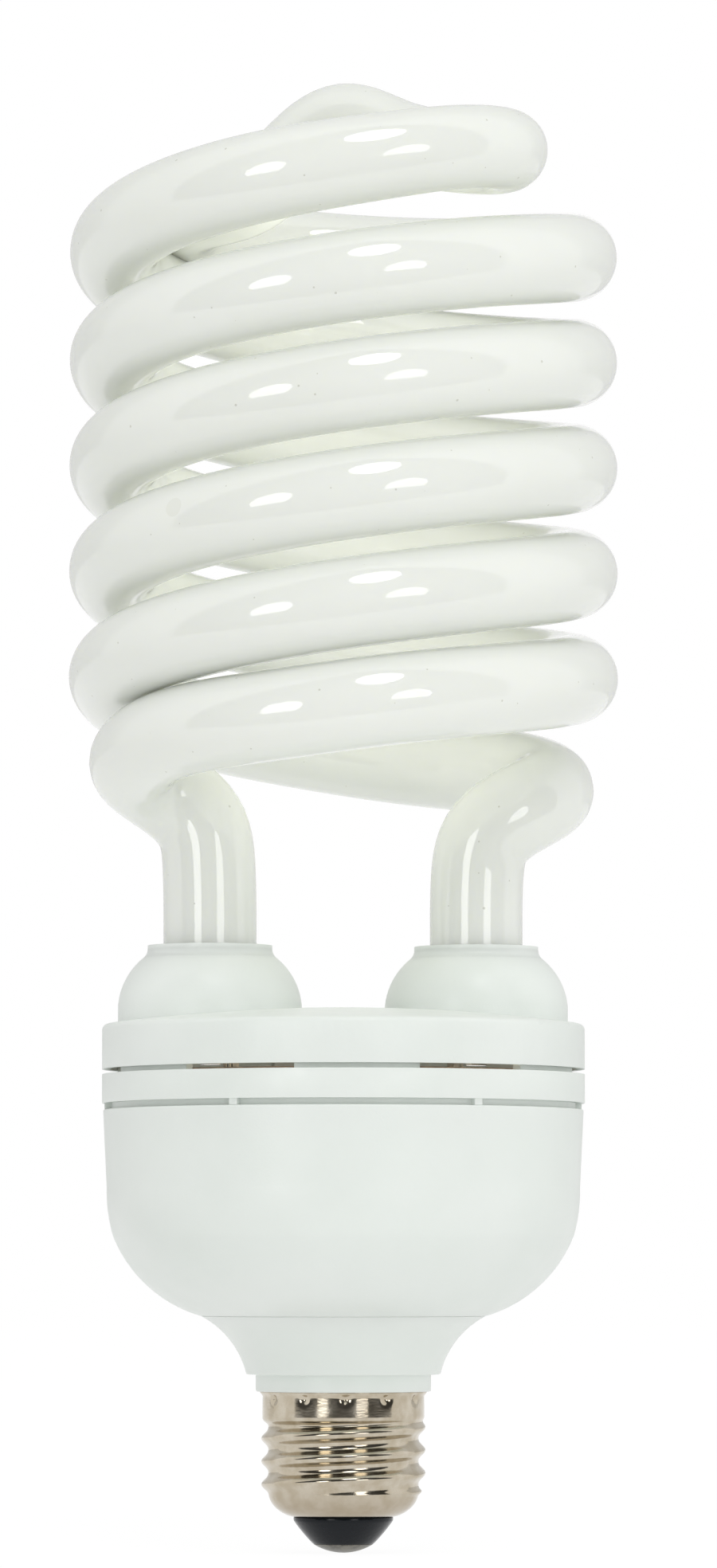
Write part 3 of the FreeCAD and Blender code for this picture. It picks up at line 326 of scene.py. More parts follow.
# Neck: a tapered moulding of white polyester, staked into the shell and glued to the housing.
# A narrow collar stands on the shell's lip, and a fine seam marks where the housing begins.
COLLAR_RADIUS = 13.9
WAIST_HEIGHT = 28.14
WAIST_RADIUS = 15.4
SEAM_HEIGHT = 37.34
SEAM_RADIUS = 22.6
NECK_CURVE = 14.0
NECK_WALL = 1.7
NECK_PLUG_RISE = 2.0
HOUSING_WALL = 1.9
STAKE_FOOT = 22.2
FIT_GAP = 0.15
plastic = finish("white_polyester", (0.80, 0.845, 0.815), 0.42, IOR=1.5, Subsurface_Weight=0.12,
                 Subsurface_Scale=0.002, Subsurface_Radius=(1.0, 1.0, 0.9))
mottled(plastic, pattern(plastic, 45.0, detail=6.0), (0.785, 0.831, 0.793), (0.815, 0.854, 0.821))
worn(plastic, pattern(plastic, 260.0), 0.33, 0.45)
raised(plastic, pattern(plastic, 2600.0, detail=2.0), 0.00003, strength=0.7)
stake_radius = BAND_RADIUS - SHELL_WALL - FIT_GAP
plug_radius = SEAM_RADIUS - HOUSING_WALL - FIT_GAP
plug_top = SEAM_HEIGHT + NECK_PLUG_RISE
neck = turned("neck_moulding", outline(
    [(stake_radius - NECK_WALL, STAKE_FOOT), (stake_radius, STAKE_FOOT), (stake_radius, SHELL_TOP),
     (COLLAR_RADIUS, SHELL_TOP), (COLLAR_RADIUS, WAIST_HEIGHT), (WAIST_RADIUS, WAIST_HEIGHT),
     (SEAM_RADIUS, SEAM_HEIGHT), (plug_radius, SEAM_HEIGHT), (plug_radius, plug_top),
     (plug_radius - NECK_WALL, plug_top), (plug_radius - NECK_WALL, SEAM_HEIGHT),
     (stake_radius - NECK_WALL, WAIST_HEIGHT)],
    {5: (NECK_CURVE, 1), 10: (NECK_CURVE, -1)}, edge=0.25), plastic)
crisp(neck)
stands_for(neck, "white_housing", "neck")


# Supply wires: two short stranded wires in woven glass sleeves, live to the contact and
# neutral to the shell. They hang from the board through the neck and are soldered at the foot.
def dress(material, *names):
    """Gives CAD nodes that stay as they are a finish of their own."""
    for name in names:
        for holder in nodes[name].material_slots:
            holder.material = material


woven = finish("woven_sleeve", (0.80, 0.785, 0.72), 0.78)
sleeve_weave = pattern(woven, 2600.0, detail=2.0)
mottled(woven, sleeve_weave, (0.70, 0.68, 0.61), (0.84, 0.825, 0.77))
raised(woven, sleeve_weave, 0.00008)
dress(woven, "live_wire", "neutral_wire")


# Lower housing: a bowl of white polyester that turns up into a slightly flared barrel.
# It is moulded in one piece with a rebate at the top for the vent ring's spigot.
BOWL_TOP = 50.04
BOWL_RADIUS = 36.6
BOWL_CURVE = 21.4
HAUNCH_TOP = 57.64
HAUNCH_RADIUS = 37.6
HAUNCH_CURVE = 25.0
HOUSING_TOP = 70.04
HOUSING_RADIUS = 38.2
LEDGE_HEIGHT = 66.04
SPIGOT_RADIUS = 36.9
housing = turned("housing_bowl", outline(
    [(SEAM_RADIUS - HOUSING_WALL, SEAM_HEIGHT), (SEAM_RADIUS, SEAM_HEIGHT),
     (BOWL_RADIUS, BOWL_TOP), (HAUNCH_RADIUS, HAUNCH_TOP), (HOUSING_RADIUS, HOUSING_TOP),
     (SPIGOT_RADIUS + FIT_GAP, HOUSING_TOP), (SPIGOT_RADIUS + FIT_GAP, LEDGE_HEIGHT),
     (HAUNCH_RADIUS - HOUSING_WALL, LEDGE_HEIGHT), (HAUNCH_RADIUS - HOUSING_WALL, HAUNCH_TOP),
     (BOWL_RADIUS - HOUSING_WALL, BOWL_TOP),
     (SEAM_RADIUS - HOUSING_WALL, SEAM_HEIGHT + HOUSING_WALL)],
    {1: (BOWL_CURVE, -1), 2: (HAUNCH_CURVE, -1), 8: (HAUNCH_CURVE, 1),
     9: (BOWL_CURVE - HOUSING_WALL, 1)},
    edge=0.35), plastic, around=224)
crisp(housing)
stands_for(housing, "white_housing", "lower_housing")


# Circuit board: a round of brown phenolic paper, cut to sit on the vent ring's inner ledge.
# It is printed on one side and dipped, so its face is streaky and has a thin lacquer.
phenolic = finish("phenolic_board", (0.33, 0.20, 0.10), 0.42)
paper_streaks = pattern(phenolic, 160.0, detail=6.0, stretch=(1.0, 6.0, 1.0))
mottled(phenolic, paper_streaks, (0.25, 0.14, 0.065), (0.40, 0.26, 0.14))
worn(phenolic, paper_streaks, 0.32, 0.55)
dress(phenolic, "circuit_board")


# Wrap pins and lamp leads: square tinned pins, pressed into the board, and the four leads of
# the tube's electrodes, wrapped round them without solder.
tinned = finish("tinned_wire", (0.66, 0.655, 0.63), 0.3, Metallic=1.0)
tin_clouds = pattern(tinned, 1300.0)
mottled(tinned, tin_clouds, (0.55, 0.54, 0.51), (0.72, 0.715, 0.69))
worn(tinned, tin_clouds, 0.24, 0.42)
dress(tinned, "wrap_pins", "lamp_leads")


# Smoothing capacitors: aluminium cans, crimped near their seals, in black shrink sleeves.
# They lie on the board with their leads bent down into it.
shrink_sleeve = finish("shrink_sleeve", (0.018, 0.018, 0.03), 0.28, IOR=1.5)
sleeve_waves = pattern(shrink_sleeve, 220.0, detail=3.0)
mottled(shrink_sleeve, sleeve_waves, (0.014, 0.014, 0.024), (0.026, 0.026, 0.042))
raised(shrink_sleeve, sleeve_waves, 0.00006, strength=0.5)
dress(shrink_sleeve, "bulk_capacitors")


# Ballast choke, line choke and toroid: sintered ferrite cores with ground faces.
# The two choke halves are taped and glued, and the toroid stands on its own wire.
ferrite = finish("sintered_ferrite", (0.045, 0.045, 0.05), 0.62)
ferrite_grain = pattern(ferrite, 1900.0)
mottled(ferrite, ferrite_grain, (0.035, 0.035, 0.038), (0.075, 0.074, 0.078))
raised(ferrite, ferrite_grain, 0.00003)
dress(ferrite, "choke_core", "toroid_core", "line_choke_core")


# Choke bobbin: black moulded nylon with two flanges that keep the winding off the core.
# It is pressed onto the core's middle leg and stands on pins in the board.
nylon = finish("moulded_nylon", (0.022, 0.022, 0.022), 0.5)
flow_marks = pattern(nylon, 300.0, stretch=(1.0, 1.0, 3.0))
mottled(nylon, flow_marks, (0.018, 0.018, 0.018), (0.032, 0.032, 0.032))
worn(nylon, flow_marks, 0.42, 0.6)
dress(nylon, "choke_bobbin")


# Windings: many turns of fine copper wire in clear brown enamel, wound tight in layers.
# Each turn shows as a fine ridge, half a millimetre to a millimetre from the next.
BAND_SCALE = 0.314


def wound(name, across, turns_per_metre):
    """Enamelled copper whose turns lie side by side along one axis."""
    made = finish(name, (0.56, 0.22, 0.075), 0.26, Metallic=1.0, Coat_Weight=0.6)
    tree = made.node_tree
    place = node(tree, "ShaderNodeTexCoord")
    turns = node(tree, "ShaderNodeTexWave", {
        "Vector": place.outputs["Object"], "Scale": turns_per_metre * BAND_SCALE,
        "Distortion": 0.6, "Detail": 1.0}, bands_direction=across)
    # Painted shade: the colour is darker in the grooves between the turns, where the bump is low
    mottled(made, turns.outputs["Fac"], (0.30, 0.10, 0.03), (0.62, 0.27, 0.10), 0.1, 0.6)
    raised(made, turns.outputs["Fac"], 0.00015)
    return made


dress(wound("choke_wire", "Z", 2000.0), "choke_winding")
dress(wound("line_choke_wire", "Z", 1700.0), "line_choke_winding")
dress(wound("toroid_wire", "X", 1100.0), "toroid_winding")


# Transistors and diodes: chips moulded into black epoxy, which has a fine matt skin.
# They stand on tinned legs that are soldered under the board.
epoxy = finish("moulded_epoxy", (0.02, 0.02, 0.021), 0.55)
epoxy_skin = pattern(epoxy, 2200.0)
worn(epoxy, epoxy_skin, 0.46, 0.66)
raised(epoxy, epoxy_skin, 0.00002)
mottled(epoxy, epoxy_skin, (0.016, 0.016, 0.017), (0.028, 0.028, 0.029))
dress(epoxy, "power_transistors", "rectifier_diodes")


# Film capacitors: wound film blocks, dipped in red-brown epoxy that runs thick at the foot.
# Their two leads go straight down into the board.
dipped = finish("dipped_epoxy", (0.34, 0.055, 0.025), 0.2, IOR=1.52)
dip_runs = pattern(dipped, 140.0, stretch=(1.0, 1.0, 0.4))
mottled(dipped, dip_runs, (0.27, 0.04, 0.018), (0.41, 0.075, 0.035))
raised(dipped, dip_runs, 0.00015, strength=0.6)
dress(dipped, "film_capacitors")


# Resistors: ceramic rods with a carbon film, in beige lacquer. They lie flat on the board.
# Their leads are bent down at both ends and clipped short under it.
lacquer = finish("beige_lacquer", (0.56, 0.45, 0.30), 0.36)
lacquer_clouds = pattern(lacquer, 700.0)
mottled(lacquer, lacquer_clouds, (0.49, 0.385, 0.25), (0.61, 0.50, 0.345))
worn(lacquer, lacquer_clouds, 0.3, 0.46)
dress(lacquer, "resistors")


# Fuse: a wire-wound safety resistor in a woven glass sleeve, which keeps sparks in.
# It stands between the live wire's pad and the rectifier.
dress(woven, "fuse")


# Thermistor: a pressed ceramic disc in tan epoxy, which limits the current at switching on.
# It stands upright on two leads beside the fuse.
tan_coat = finish("tan_coating", (0.52, 0.34, 0.14), 0.4)
coat_clouds = pattern(tan_coat, 500.0)
mottled(tan_coat, coat_clouds, (0.43, 0.27, 0.105), (0.58, 0.395, 0.175))
raised(tan_coat, coat_clouds, 0.00006)
dress(tan_coat, "thermistor")


# Vent ring: a spigot that joins cap and housing, with an outer band and six vent windows.
# Six small ribs below the band keep the lower slit open, and the board rests on a ledge inside.
SHARP_ANGLE = math.radians(30.0)
FLAT_ANGLE = math.radians(1.0)
WELD_REACH = 0.005


def smoothed(name, cad_name, material, bevel):
    """A welded copy of a CAD node with small rounded edges and smooth curved faces."""
    mesh = bmesh.new()
    mesh.from_mesh(nodes[cad_name].data)
    bmesh.ops.remove_doubles(mesh, verts=mesh.verts, dist=WELD_REACH * MM)
    bmesh.ops.dissolve_limit(mesh, angle_limit=FLAT_ANGLE, verts=mesh.verts, edges=mesh.edges)
    made = as_piece(name, mesh, material)
    rounding = made.modifiers.new("soft_edges", "BEVEL")
    rounding.width = bevel * MM
    rounding.segments = 3
    rounding.angle_limit = SHARP_ANGLE
    rounding.harden_normals = True
    return made


ring = smoothed("vent_band", "vent_ring", plastic, 0.2)
stands_for(ring, "white_housing", "vent_ring")


# Top cap: a low domed disc of the same polyester, pressed over the vent ring's spigot.
# Two domed collars rise from it, each with a plain lip round its leg of the tube. A small cove
# leads from each dome up to its lip.
LEG_SPREAD = 21.35
LEG_ANGLE = 6.7
COLLAR_LIP = 9.9
LIP_UNDERSIDE = 94.94
COVE_REACH = 0.66
COVE_DROP = 0.82
COVE_RISE = 0.56
COVE_CURVE = 1.78
COVE_ROOT = 0.7
COVE_DEPTH = 1.2
COVE_SEAT = 0.3
COVE_PLUG = 0.4
cap = smoothed("cap_moulding", "top_cap", plastic, 0.25)
# Only the curved side of a cove shows, and its other corners are sunk into the collar
cove_line = outline(
    [(COLLAR_LIP - COVE_ROOT, LIP_UNDERSIDE - COVE_DEPTH),
     (COLLAR_LIP + COVE_SEAT, LIP_UNDERSIDE - COVE_DEPTH),
     (COLLAR_LIP + COVE_REACH, LIP_UNDERSIDE - COVE_DROP), (COLLAR_LIP, LIP_UNDERSIDE + COVE_RISE),
     (COLLAR_LIP - COVE_ROOT, LIP_UNDERSIDE + COVE_PLUG)], {2: (COVE_CURVE, 1)}, edge=0.02)
joined = bmesh.new()
joined.from_mesh(cap.data)
for turn in (math.radians(LEG_ANGLE), math.radians(LEG_ANGLE + 180.0)):
    leg_centre = (LEG_SPREAD * math.cos(turn), LEG_SPREAD * math.sin(turn))
    cove = turned("collar_cove", cove_line, plastic, around=96, centre=leg_centre)
    joined.from_mesh(cove.data)
    bpy.data.objects.remove(cove)
joined.to_mesh(cap.data)
joined.free()
stands_for(cap, "white_housing", "top_cap")


# Tube cement: a ring of white silicate cement in each collar, poured round the leg and baked.
# It holds the glass firmly and stays out of sight below the collar's lip.
cement = finish("silicate_cement", (0.74, 0.725, 0.68), 0.85)
cement_pores = pattern(cement, 800.0, detail=6.0)
mottled(cement, cement_pores, (0.64, 0.62, 0.57), (0.79, 0.78, 0.74))
raised(cement, cement_pores, 0.00015)
dress(cement, "tube_cement")


# Glass tube: one length of soft glass, bent hot over a former into two strands and coated
# inside with milky phosphor. Its sealed ends stand in the collars as two straight legs.
COIL_FOOT = 123.24
COIL_RADIUS = 36.8
STRAND_PITCH = 33.92
STRAND_TURNS = 2.8
FOOT_ANGLE = 15.0
TOP_ANGLE = FOOT_ANGLE + 360.0 * STRAND_TURNS
COIL_SHRINK = 2.3
SHRINK_START = 110.0
SHRINK_TURN = 90.0
CROWN_BEND = 12.5
CROWN_RISE = 10.2
CROWN_WIDTH = 11.5
CROWN_SLOPE = 0.62
ARM_SHARES = (0.0, 0.42, 0.8)
CROWN_BEND_SHARES = (0.25, 0.62, 1.0)
ARM_SINK_REACH = 16.0
FAR_ARM_DROP = 3.6
FAR_DROP_TURN = 100.0
NEAR_ARM_LIFT = 1.3
NEAR_LIFT_TURN = 200.0
FAR_END_LIFT = 2.2
NEAR_END_DROP = 0.8
END_SHIFT_START = 165.0
END_SHIFT_TURN = 150.0
FIRST_POINT_TURN = 22.0
LAST_POINT_TURN = 55.0
POINT_TURN = 30.0
# The bend from coil to leg: share of the way out, millimetres back, shares of rise and end shift
LEG_BEND = ((0.667, 15.0, 1.06, 1.0), (0.735, 7.0, 0.90, 1.0), (0.42, 2.6, 0.71, 0.9),
            (0.095, 2.1, 0.43, 0.7), (0.01, 2.4, 0.05, 0.4))
LEG_TOP = 106.54
CEILING = 81.94
TUBE_FOOT = 77.14
LEG_HEIGHTS = (LEG_TOP - 6.0, LEG_TOP - 10.0, CEILING, TUBE_FOOT)
LEG_RADIUS = 7.42
LEG_TAPER = (30.0, 70.0)
COIL_TUBE_RADIUS = 7.1
CROWN_TUBE_RADIUS = 6.5
CROWN_TAPER = (90.0, 42.0)
TIP_RADIUS = 1.6
TIP_RISE = 2.6
SEAL_RISE = 3.2
RING_STEP = 1.3
TUBE_SIDES = 56


def round_axis(radius, degrees, height):
    """A spot at a radius and an angle round the lamp's axis."""
    angle = math.radians(degrees)
    return np.array((radius * math.cos(angle), radius * math.sin(angle), height))


def coil_height(degrees):
    """The height of an even strand at an angle from the foot of the coil."""
    return COIL_FOOT + STRAND_PITCH * (degrees - FOOT_ANGLE) / 360.0


def crown_arm(drop):
    """From the crown's middle out along a straight arm, then round a bend onto the coil."""
    arm = math.sqrt(COIL_RADIUS ** 2 - 2 * COIL_RADIUS * CROWN_BEND)
    swing = math.degrees(math.atan2(CROWN_BEND, arm))
    heading = TOP_ANGLE + swing
    bend_centre = round_axis(COIL_RADIUS - CROWN_BEND, TOP_ANGLE, 0.0)
    bend_turn = math.radians(90 + swing)
    path = arm + CROWN_BEND * bend_turn
    slope = CROWN_SLOPE * STRAND_PITCH / (2 * math.pi * COIL_RADIUS)
    peak = CROWN_RISE - slope * path
    stretch = [(share * arm, round_axis(share * arm, heading, 0.0)) for share in ARM_SHARES]
    for share in CROWN_BEND_SHARES:
        swept = bend_turn * share
        away = round_axis(CROWN_BEND, heading + 90 - math.degrees(swept), 0.0)
        stretch.append((arm + CROWN_BEND * swept, bend_centre + away))
    for run, spot in stretch:
        bump = peak * math.exp(-(run / CROWN_WIDTH) ** 2)
        sink = drop * min(1.0, run / ARM_SINK_REACH) ** 2
        yield spot + (0, 0, coil_height(TOP_ANGLE) + slope * (path - run) + bump - sink)


def strand(drop, drop_turn, lift):
    """One strand from the crown's middle to the foot of its leg, on the right-hand side."""
    points = list(crown_arm(drop))
    first, last = TOP_ANGLE - FIRST_POINT_TURN, FOOT_ANGLE + LAST_POINT_TURN
    for degrees in np.arange(first, last, -POINT_TURN):
        shrink = COIL_SHRINK * max(0.0, (FOOT_ANGLE + SHRINK_START - degrees) / SHRINK_TURN) ** 2
        sink = drop * np.clip((degrees - TOP_ANGLE) / drop_turn + 1, 0.0, 1.0)
        rise = lift * np.clip((FOOT_ANGLE + END_SHIFT_START - degrees) / END_SHIFT_TURN, 0.0, 1.0)
        points.append(round_axis(COIL_RADIUS - shrink, degrees, coil_height(degrees) - sink + rise))
    leg = round_axis(LEG_SPREAD, LEG_ANGLE, 0.0)
    fall, inset = COIL_FOOT - LEG_TOP, COIL_RADIUS - leg[0]
    for out, back, high, share in LEG_BEND:
        points.append(np.array((leg[0] + inset * out, back, LEG_TOP + fall * high + lift * share)))
    return points + [leg + (0, 0, height) for height in LEG_HEIGHTS]


def smooth_line(points, step):
    """A natural cubic curve through the points, as spots a step apart and their runs."""
    points = np.array(points)
    knots = np.concatenate(([0.0], np.cumsum(np.linalg.norm(np.diff(points, axis=0), axis=1))))
    gaps = np.diff(knots)
    rates = np.diff(points, axis=0) / gaps[:, None]
    system = np.eye(len(knots))
    target = np.zeros_like(points)
    for i in range(1, len(knots) - 1):
        system[i, i - 1:i + 2] = gaps[i - 1], 2 * (gaps[i - 1] + gaps[i]), gaps[i]
        target[i] = 6 * (rates[i] - rates[i - 1])
    bend = np.linalg.solve(system, target)
    runs = np.linspace(0.0, knots[-1], math.ceil(knots[-1] / step))
    i = np.clip(np.searchsorted(knots, runs) - 1, 0, len(gaps) - 1)
    done = ((runs - knots[i]) / gaps[i])[:, None]
    left = 1 - done
    spots = left * points[i] + done * points[i + 1]
    bulge = (left ** 3 - left) * bend[i] + (done ** 3 - done) * bend[i + 1]
    return spots + bulge * gaps[i][:, None] ** 2 / 6, runs


near = strand(-NEAR_ARM_LIFT, NEAR_LIFT_TURN, -NEAR_END_DROP)
far = [spot * (-1, -1, 1) for spot in strand(FAR_ARM_DROP, FAR_DROP_TURN, FAR_END_LIFT)]
spots, runs = smooth_line(far[:0:-1] + near, RING_STEP)
reach = np.minimum(runs, runs[-1] - runs)
girth = TIP_RADIUS + (LEG_RADIUS - TIP_RADIUS) * blend(reach, TIP_RISE, TIP_RISE + SEAL_RISE)
girth += (COIL_TUBE_RADIUS - LEG_RADIUS) * blend(reach, *LEG_TAPER)
crown_start, crown_end = (runs[-1] / 2 - away for away in CROWN_TAPER)
girth += (CROWN_TUBE_RADIUS - COIL_TUBE_RADIUS) * blend(reach, crown_start, crown_end)

centre_line = bpy.data.meshes.new("spiral_tube")
centre_line.from_pydata(spots * MM, [(i, i + 1) for i in range(len(spots) - 1)], [])
centre_line.attributes.new("girth", "FLOAT", "POINT").data.foreach_set("value", girth * MM)
tube = bpy.data.objects.new("spiral_tube", centre_line)
bpy.context.scene.collection.objects.link(tube)

milky = finish("milky_glass", (0.884, 0.891, 0.87), 0.35, IOR=1.45, Specular_IOR_Level=0.1,
               Subsurface_Weight=0.6, Subsurface_Scale=0.006, Subsurface_Radius=(1.0, 1.0, 0.85),
               Coat_Weight=1.0, Coat_Roughness=0.004, Coat_IOR=1.6,
               Coat_Tint=(0.93, 0.945, 0.92, 1.0))


def worked(tree, operation, first, second):
    """The result of one sum or test in a shader tree."""
    return node(tree, "ShaderNodeMath", {0: first, 1: second}, operation=operation).outputs[0]


def flecked(material, per_metre, width, share, colour, strength):
    """Scatters small round specks over a surface, one in a share of the cells."""
    tree = material.node_tree
    place = node(tree, "ShaderNodeTexCoord")
    cells = node(tree, "ShaderNodeTexVoronoi", {"Vector": place.outputs["Object"],
                                                "Scale": per_metre})
    drawn = node(tree, "ShaderNodeSeparateColor", {"Color": cells.outputs["Color"]})
    chosen = worked(tree, "LESS_THAN", drawn.outputs["Red"], share)
    size = worked(tree, "MULTIPLY", drawn.outputs["Green"], width * per_metre)
    inside = worked(tree, "LESS_THAN", cells.outputs["Distance"], size)
    speck = worked(tree, "MULTIPLY", chosen, inside)
    overlaid(material, worked(tree, "MULTIPLY", speck, strength), colour)


mottled(milky, pattern(milky, 28.0, detail=5.0), (0.872, 0.879, 0.857), (0.895, 0.902, 0.883))
flecked(milky, per_metre=420.0, width=0.00022, share=0.55, colour=(0.45, 0.44, 0.36),
        strength=0.45)
flecked(milky, per_metre=30.0, width=0.0016, share=0.3, colour=(0.70, 0.70, 0.64),
        strength=0.25)
raised(milky, pattern(milky, 60.0, detail=1.0), 0.00002, strength=0.4, socket="Coat Normal")

blowing = bpy.data.node_groups.new("blown_tube", "GeometryNodeTree")
blowing.is_modifier = True
sockets = blowing.interface
sockets.new_socket("Geometry", in_out="INPUT", socket_type="NodeSocketGeometry")
sides_in = sockets.new_socket("Sides", in_out="INPUT", socket_type="NodeSocketInt")
glass_in = sockets.new_socket("Glass", in_out="INPUT", socket_type="NodeSocketMaterial")
sockets.new_socket("Geometry", in_out="OUTPUT", socket_type="NodeSocketGeometry")
given = node(blowing, "NodeGroupInput")
width = node(blowing, "GeometryNodeInputNamedAttribute", {"Name": "girth"}, data_type="FLOAT")
line = node(blowing, "GeometryNodeMeshToCurve", {"Mesh": given.outputs["Geometry"]})
section = node(blowing, "GeometryNodeCurvePrimitiveCircle", {"Resolution": given.outputs["Sides"],
                                                            "Radius": 1.0})
swept = node(blowing, "GeometryNodeCurveToMesh", {"Curve": line.outputs["Curve"],
                                                 "Profile Curve": section.outputs["Curve"],
                                                 "Scale": width.outputs["Attribute"],
                                                 "Fill Caps": True})
real = node(blowing, "GeometryNodeRealizeInstances", {"Geometry": swept.outputs["Mesh"]})
coated = node(blowing, "GeometryNodeSetMaterial", {"Geometry": real.outputs["Geometry"],
                                                  "Material": given.outputs["Glass"]})
node(blowing, "NodeGroupOutput", {"Geometry": coated.outputs["Geometry"]})


def shaped(piece, tree, values):
    """Runs a geometry tree on a piece and keeps its result as the piece's own plain mesh."""
    maker = piece.modifiers.new(tree.name, "NODES")
    maker.node_group = tree
    for socket, value in values.items():
        maker[socket.identifier] = value
    bpy.context.view_layer.update()
    result = piece.evaluated_get(bpy.context.evaluated_depsgraph_get())
    data = bpy.data.meshes.new_from_object(result)
    piece.modifiers.remove(maker)
    piece.data = data
    data.shade_smooth()


shaped(tube, blowing, {sides_in: TUBE_SIDES, glass_in: milky})
stands_for(tube, "frosted_glass", "glass_spiral")


# Floor: a plain pale sheet under the lamp that runs off to the horizon.
# The camera and mirrors see it as white paper, and it keeps a soft shadow of the lamp.
FLOOR_REACH = 4.0
FLOOR_GLOW = 1.03
GLOW_SHARE = 0.4
SEEN_GLOW_SHARE = 0.92


def seen_directly(tree):
    """1 for rays from the camera, a mirror or clear glass, and 0 for light that spreads."""
    rays = node(tree, "ShaderNodeLightPath")
    seen = worked(tree, "MAXIMUM", rays.outputs["Is Camera Ray"], rays.outputs["Is Glossy Ray"])
    return worked(tree, "MAXIMUM", seen, rays.outputs["Is Transmission Ray"])


paper = bpy.data.materials.new("white_paper")
paper.use_nodes = True
tree = paper.node_tree
tree.nodes.clear()
share = node(tree, "ShaderNodeMapRange", {"Value": seen_directly(tree), "To Min": GLOW_SHARE,
                                          "To Max": SEEN_GLOW_SHARE})
matte = node(tree, "ShaderNodeBsdfDiffuse", {"Color": (0.9, 0.9, 0.9, 1.0)})
white = node(tree, "ShaderNodeEmission", {"Color": (1.0, 1.0, 1.0, 1.0), "Strength": FLOOR_GLOW})
mixed = node(tree, "ShaderNodeMixShader", {0: share.outputs["Result"], 1: matte.outputs["BSDF"],
                                           2: white.outputs["Emission"]})
node(tree, "ShaderNodeOutputMaterial", {"Surface": mixed.outputs["Shader"]})
floor_mesh = bmesh.new()
bmesh.ops.create_grid(floor_mesh, x_segments=1, y_segments=1, size=FLOOR_REACH)
floor = as_piece("paper_floor", floor_mesh, paper)


# Lights: a white tent all round, and a dome that only mirrors see, which is dark behind the
# camera, lit at the sides and grey behind the lamp. Three soft lamps leave three bright spots on
# each turn of the tube, and small ones inside stand for light that the milky walls let through.
TENT_LIGHT = 0.74
DOME_RADIUS = 2.1
DOME_TOP = 89.0
DOME_AROUND = 180
DOME_RINGS = 60
DARK_TURN = 72.0
DARK_RISE = 78.0
DARK_FLOOR = 0.23
DARK_FLOOR_HEIGHT = 0.002
DARK_FLOOR_STEPS = 49
WALL_TURN = 118.0
WALL_GLOW = 1.03
WINDOW_TURN = 11.0
WINDOW_TOP = 24.0
LAMP_REACH = 1.8
LAMP_WIDTH = 0.56
LAMP_HEIGHT = 0.9
LAMP_POWER = 5.0
LAMP_AIM = Vector((0.0, 0.0, 0.13))
COIL_GLOW_HEIGHTS = (0.130, 0.150, 0.170, 0.190, 0.208)
COIL_GLOW_POWER = 0.0044
COIL_GLOW_RADIUS = 0.012
VENT_GLOW_PLACE = (0.0, -0.012, 0.0795)
VENT_GLOW_POWER = 0.013
VENT_GLOW_RADIUS = 0.004

world = bpy.data.worlds.new("white_tent")
bpy.context.scene.world = world
world.use_nodes = True
tree = world.node_tree
tree.nodes.clear()
plain = node(tree, "ShaderNodeBackground", {"Color": (1.0, 1.0, 0.99, 1.0), "Strength": TENT_LIGHT})
bright = node(tree, "ShaderNodeBackground", {"Color": (1.0, 1.0, 1.0, 1.0), "Strength": 1.0})
mixed = node(tree, "ShaderNodeMixShader", {0: seen_directly(tree), 1: plain.outputs["Background"],
                                           2: bright.outputs["Background"]})
node(tree, "ShaderNodeOutputWorld", {"Surface": mixed.outputs["Shader"]})


def dome_spot(turn, rise):
    """A spot on the dome, by degrees round from the camera's side and up from the floor."""
    across, up = math.radians(turn), math.radians(rise)
    return (DOME_RADIUS * math.sin(across) * math.cos(up),
            -DOME_RADIUS * math.cos(across) * math.cos(up), DOME_RADIUS * math.sin(up))


def floor_spot(turn, reach):
    """A spot just above the floor, by degrees round from the camera's side and metres out."""
    across = math.radians(turn)
    return (reach * math.sin(across), -reach * math.cos(across), DARK_FLOOR_HEIGHT)


dark_cloth = finish("dark_cloth", (0.06, 0.06, 0.06), 0.9)
grey_cloth = finish("grey_cloth", (0.86, 0.86, 0.86), 0.9)
lit_wall = finish("lit_wall", (0.0, 0.0, 0.0), 0.9, Emission_Color=(1.0, 1.0, 1.0, 1.0),
                  Emission_Strength=WALL_GLOW)
dome_mesh = bmesh.new()
turns = np.linspace(-180.0, 180.0, DOME_AROUND + 1)
rises = np.linspace(0.0, DOME_TOP, DOME_RINGS)
dome_verts = [[dome_mesh.verts.new(dome_spot(turn, rise)) for rise in rises] for turn in turns[:-1]]
# A cell is dark unless it is told to be grey, which is finish 1, or lit, which is finish 2
for i, turn in enumerate((turns[1:] + turns[:-1]) / 2):
    for k, rise in enumerate((rises[1:] + rises[:-1]) / 2):
        if abs(turn) > 180 - WINDOW_TURN and rise < WINDOW_TOP:
            continue
        after = dome_verts[(i + 1) % len(dome_verts)]
        cell = dome_mesh.faces.new((dome_verts[i][k], dome_verts[i][k + 1], after[k + 1], after[k]))
        if (turn / DARK_TURN) ** 2 + (rise / DARK_RISE) ** 2 > 1:
            cell.material_index = 2 if abs(turn) < WALL_TURN else 1
columns = []
for turn in np.linspace(-DARK_TURN, DARK_TURN, DARK_FLOOR_STEPS):
    reaches = (DARK_FLOOR / math.cos(math.radians(turn)), DOME_RADIUS)
    columns.append([dome_mesh.verts.new(floor_spot(turn, reach)) for reach in reaches])
for column, after in zip(columns, columns[1:]):
    dome_mesh.faces.new((column[0], after[0], after[1], column[1]))
dome = as_piece("studio_dome", dome_mesh, dark_cloth)
dome.data.materials.append(grey_cloth)
dome.data.materials.append(lit_wall)
dome.visible_camera = False
dome.visible_diffuse = False
dome.visible_shadow = False


def hung(name, kind, power):
    """A lamp of one kind, hung in the scene."""
    light = bpy.data.lights.new(name, kind)
    light.energy = power
    lamp = bpy.data.objects.new(name, light)
    bpy.context.scene.collection.objects.link(lamp)
    return lamp


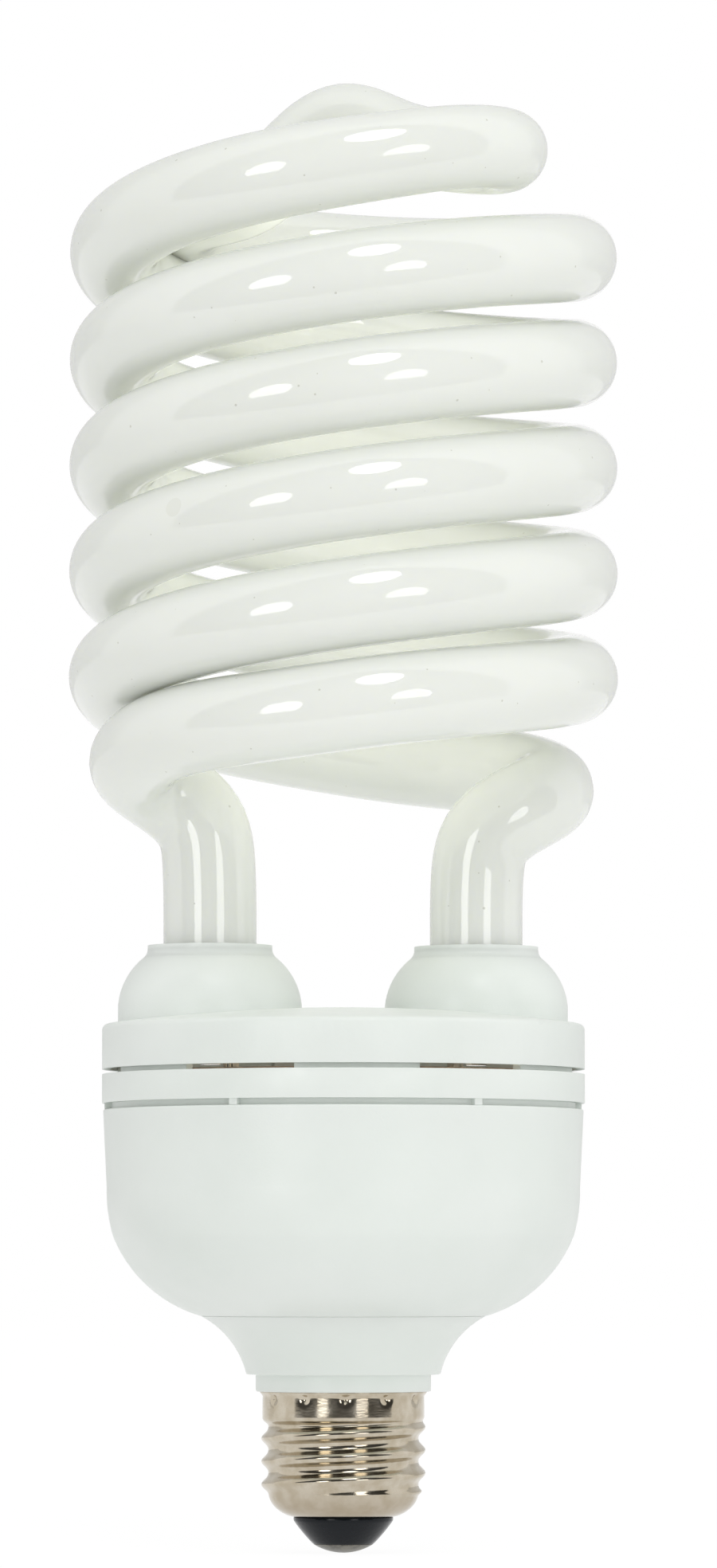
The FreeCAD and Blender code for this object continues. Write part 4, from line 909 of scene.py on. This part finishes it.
# Each lamp by degrees to the camera's right, degrees up and share of the power
for name, turn, rise, share in (("lamp_left", -29.3, 5.0, 1.0), ("lamp_right", 26.6, 2.0, 0.84),
                                ("lamp_high", 9.5, 51.0, 1.3)):
    lamp = hung(name, "AREA", LAMP_POWER * share)
    lamp.data.shape = "ELLIPSE"
    lamp.data.size = LAMP_WIDTH
    lamp.data.size_y = LAMP_HEIGHT
    across, up = math.radians(turn), math.radians(rise)
    toward = Vector((math.sin(across) * math.cos(up), -math.cos(across) * math.cos(up),
                     math.sin(up)))
    lamp.location = LAMP_AIM + toward * LAMP_REACH
    lamp.rotation_euler = toward.to_track_quat("Z", "Y").to_euler()
    # The left lamp only leaves bright spots, so the shading comes from the other two
    lamp.visible_diffuse = name != "lamp_left"


def glow(name, place, power, radius, colour):
    """A small lamp inside the object that lights it but isn't seen itself."""
    lamp = hung(name, "POINT", power)
    lamp.data.shadow_soft_size = radius
    lamp.data.color = colour
    lamp.location = place
    lamp.visible_camera = False
    lamp.visible_glossy = False


for height in COIL_GLOW_HEIGHTS:
    glow("coil_glow", (0.0, 0.0, height), COIL_GLOW_POWER, COIL_GLOW_RADIUS, (1.0, 0.965, 0.91))
glow("vent_glow", VENT_GLOW_PLACE, VENT_GLOW_POWER, VENT_GLOW_RADIUS, (1.0, 0.95, 0.85))


# Camera: a long lens at the height of the housing, pitched a little upwards.
# It stands 2.4 mm right of the lamp's axis, and the colours are shown as they are.
CAMERA_PLACE = Vector((0.0024, -1.061, 0.0449))
CAMERA_AIM = Vector((0.0024, 0.0, 0.122))
LENS_LENGTH = 153.0
SENSOR_WIDTH = 36.0
lens = bpy.data.cameras.new("camera")
lens.lens = LENS_LENGTH
lens.sensor_width = SENSOR_WIDTH
camera = bpy.data.objects.new("camera", lens)
camera.location = CAMERA_PLACE
camera.rotation_euler = (CAMERA_AIM - CAMERA_PLACE).to_track_quat("-Z", "Y").to_euler()
bpy.context.scene.collection.objects.link(camera)
bpy.context.scene.camera = camera
bpy.context.scene.view_settings.view_transform = "Standard"
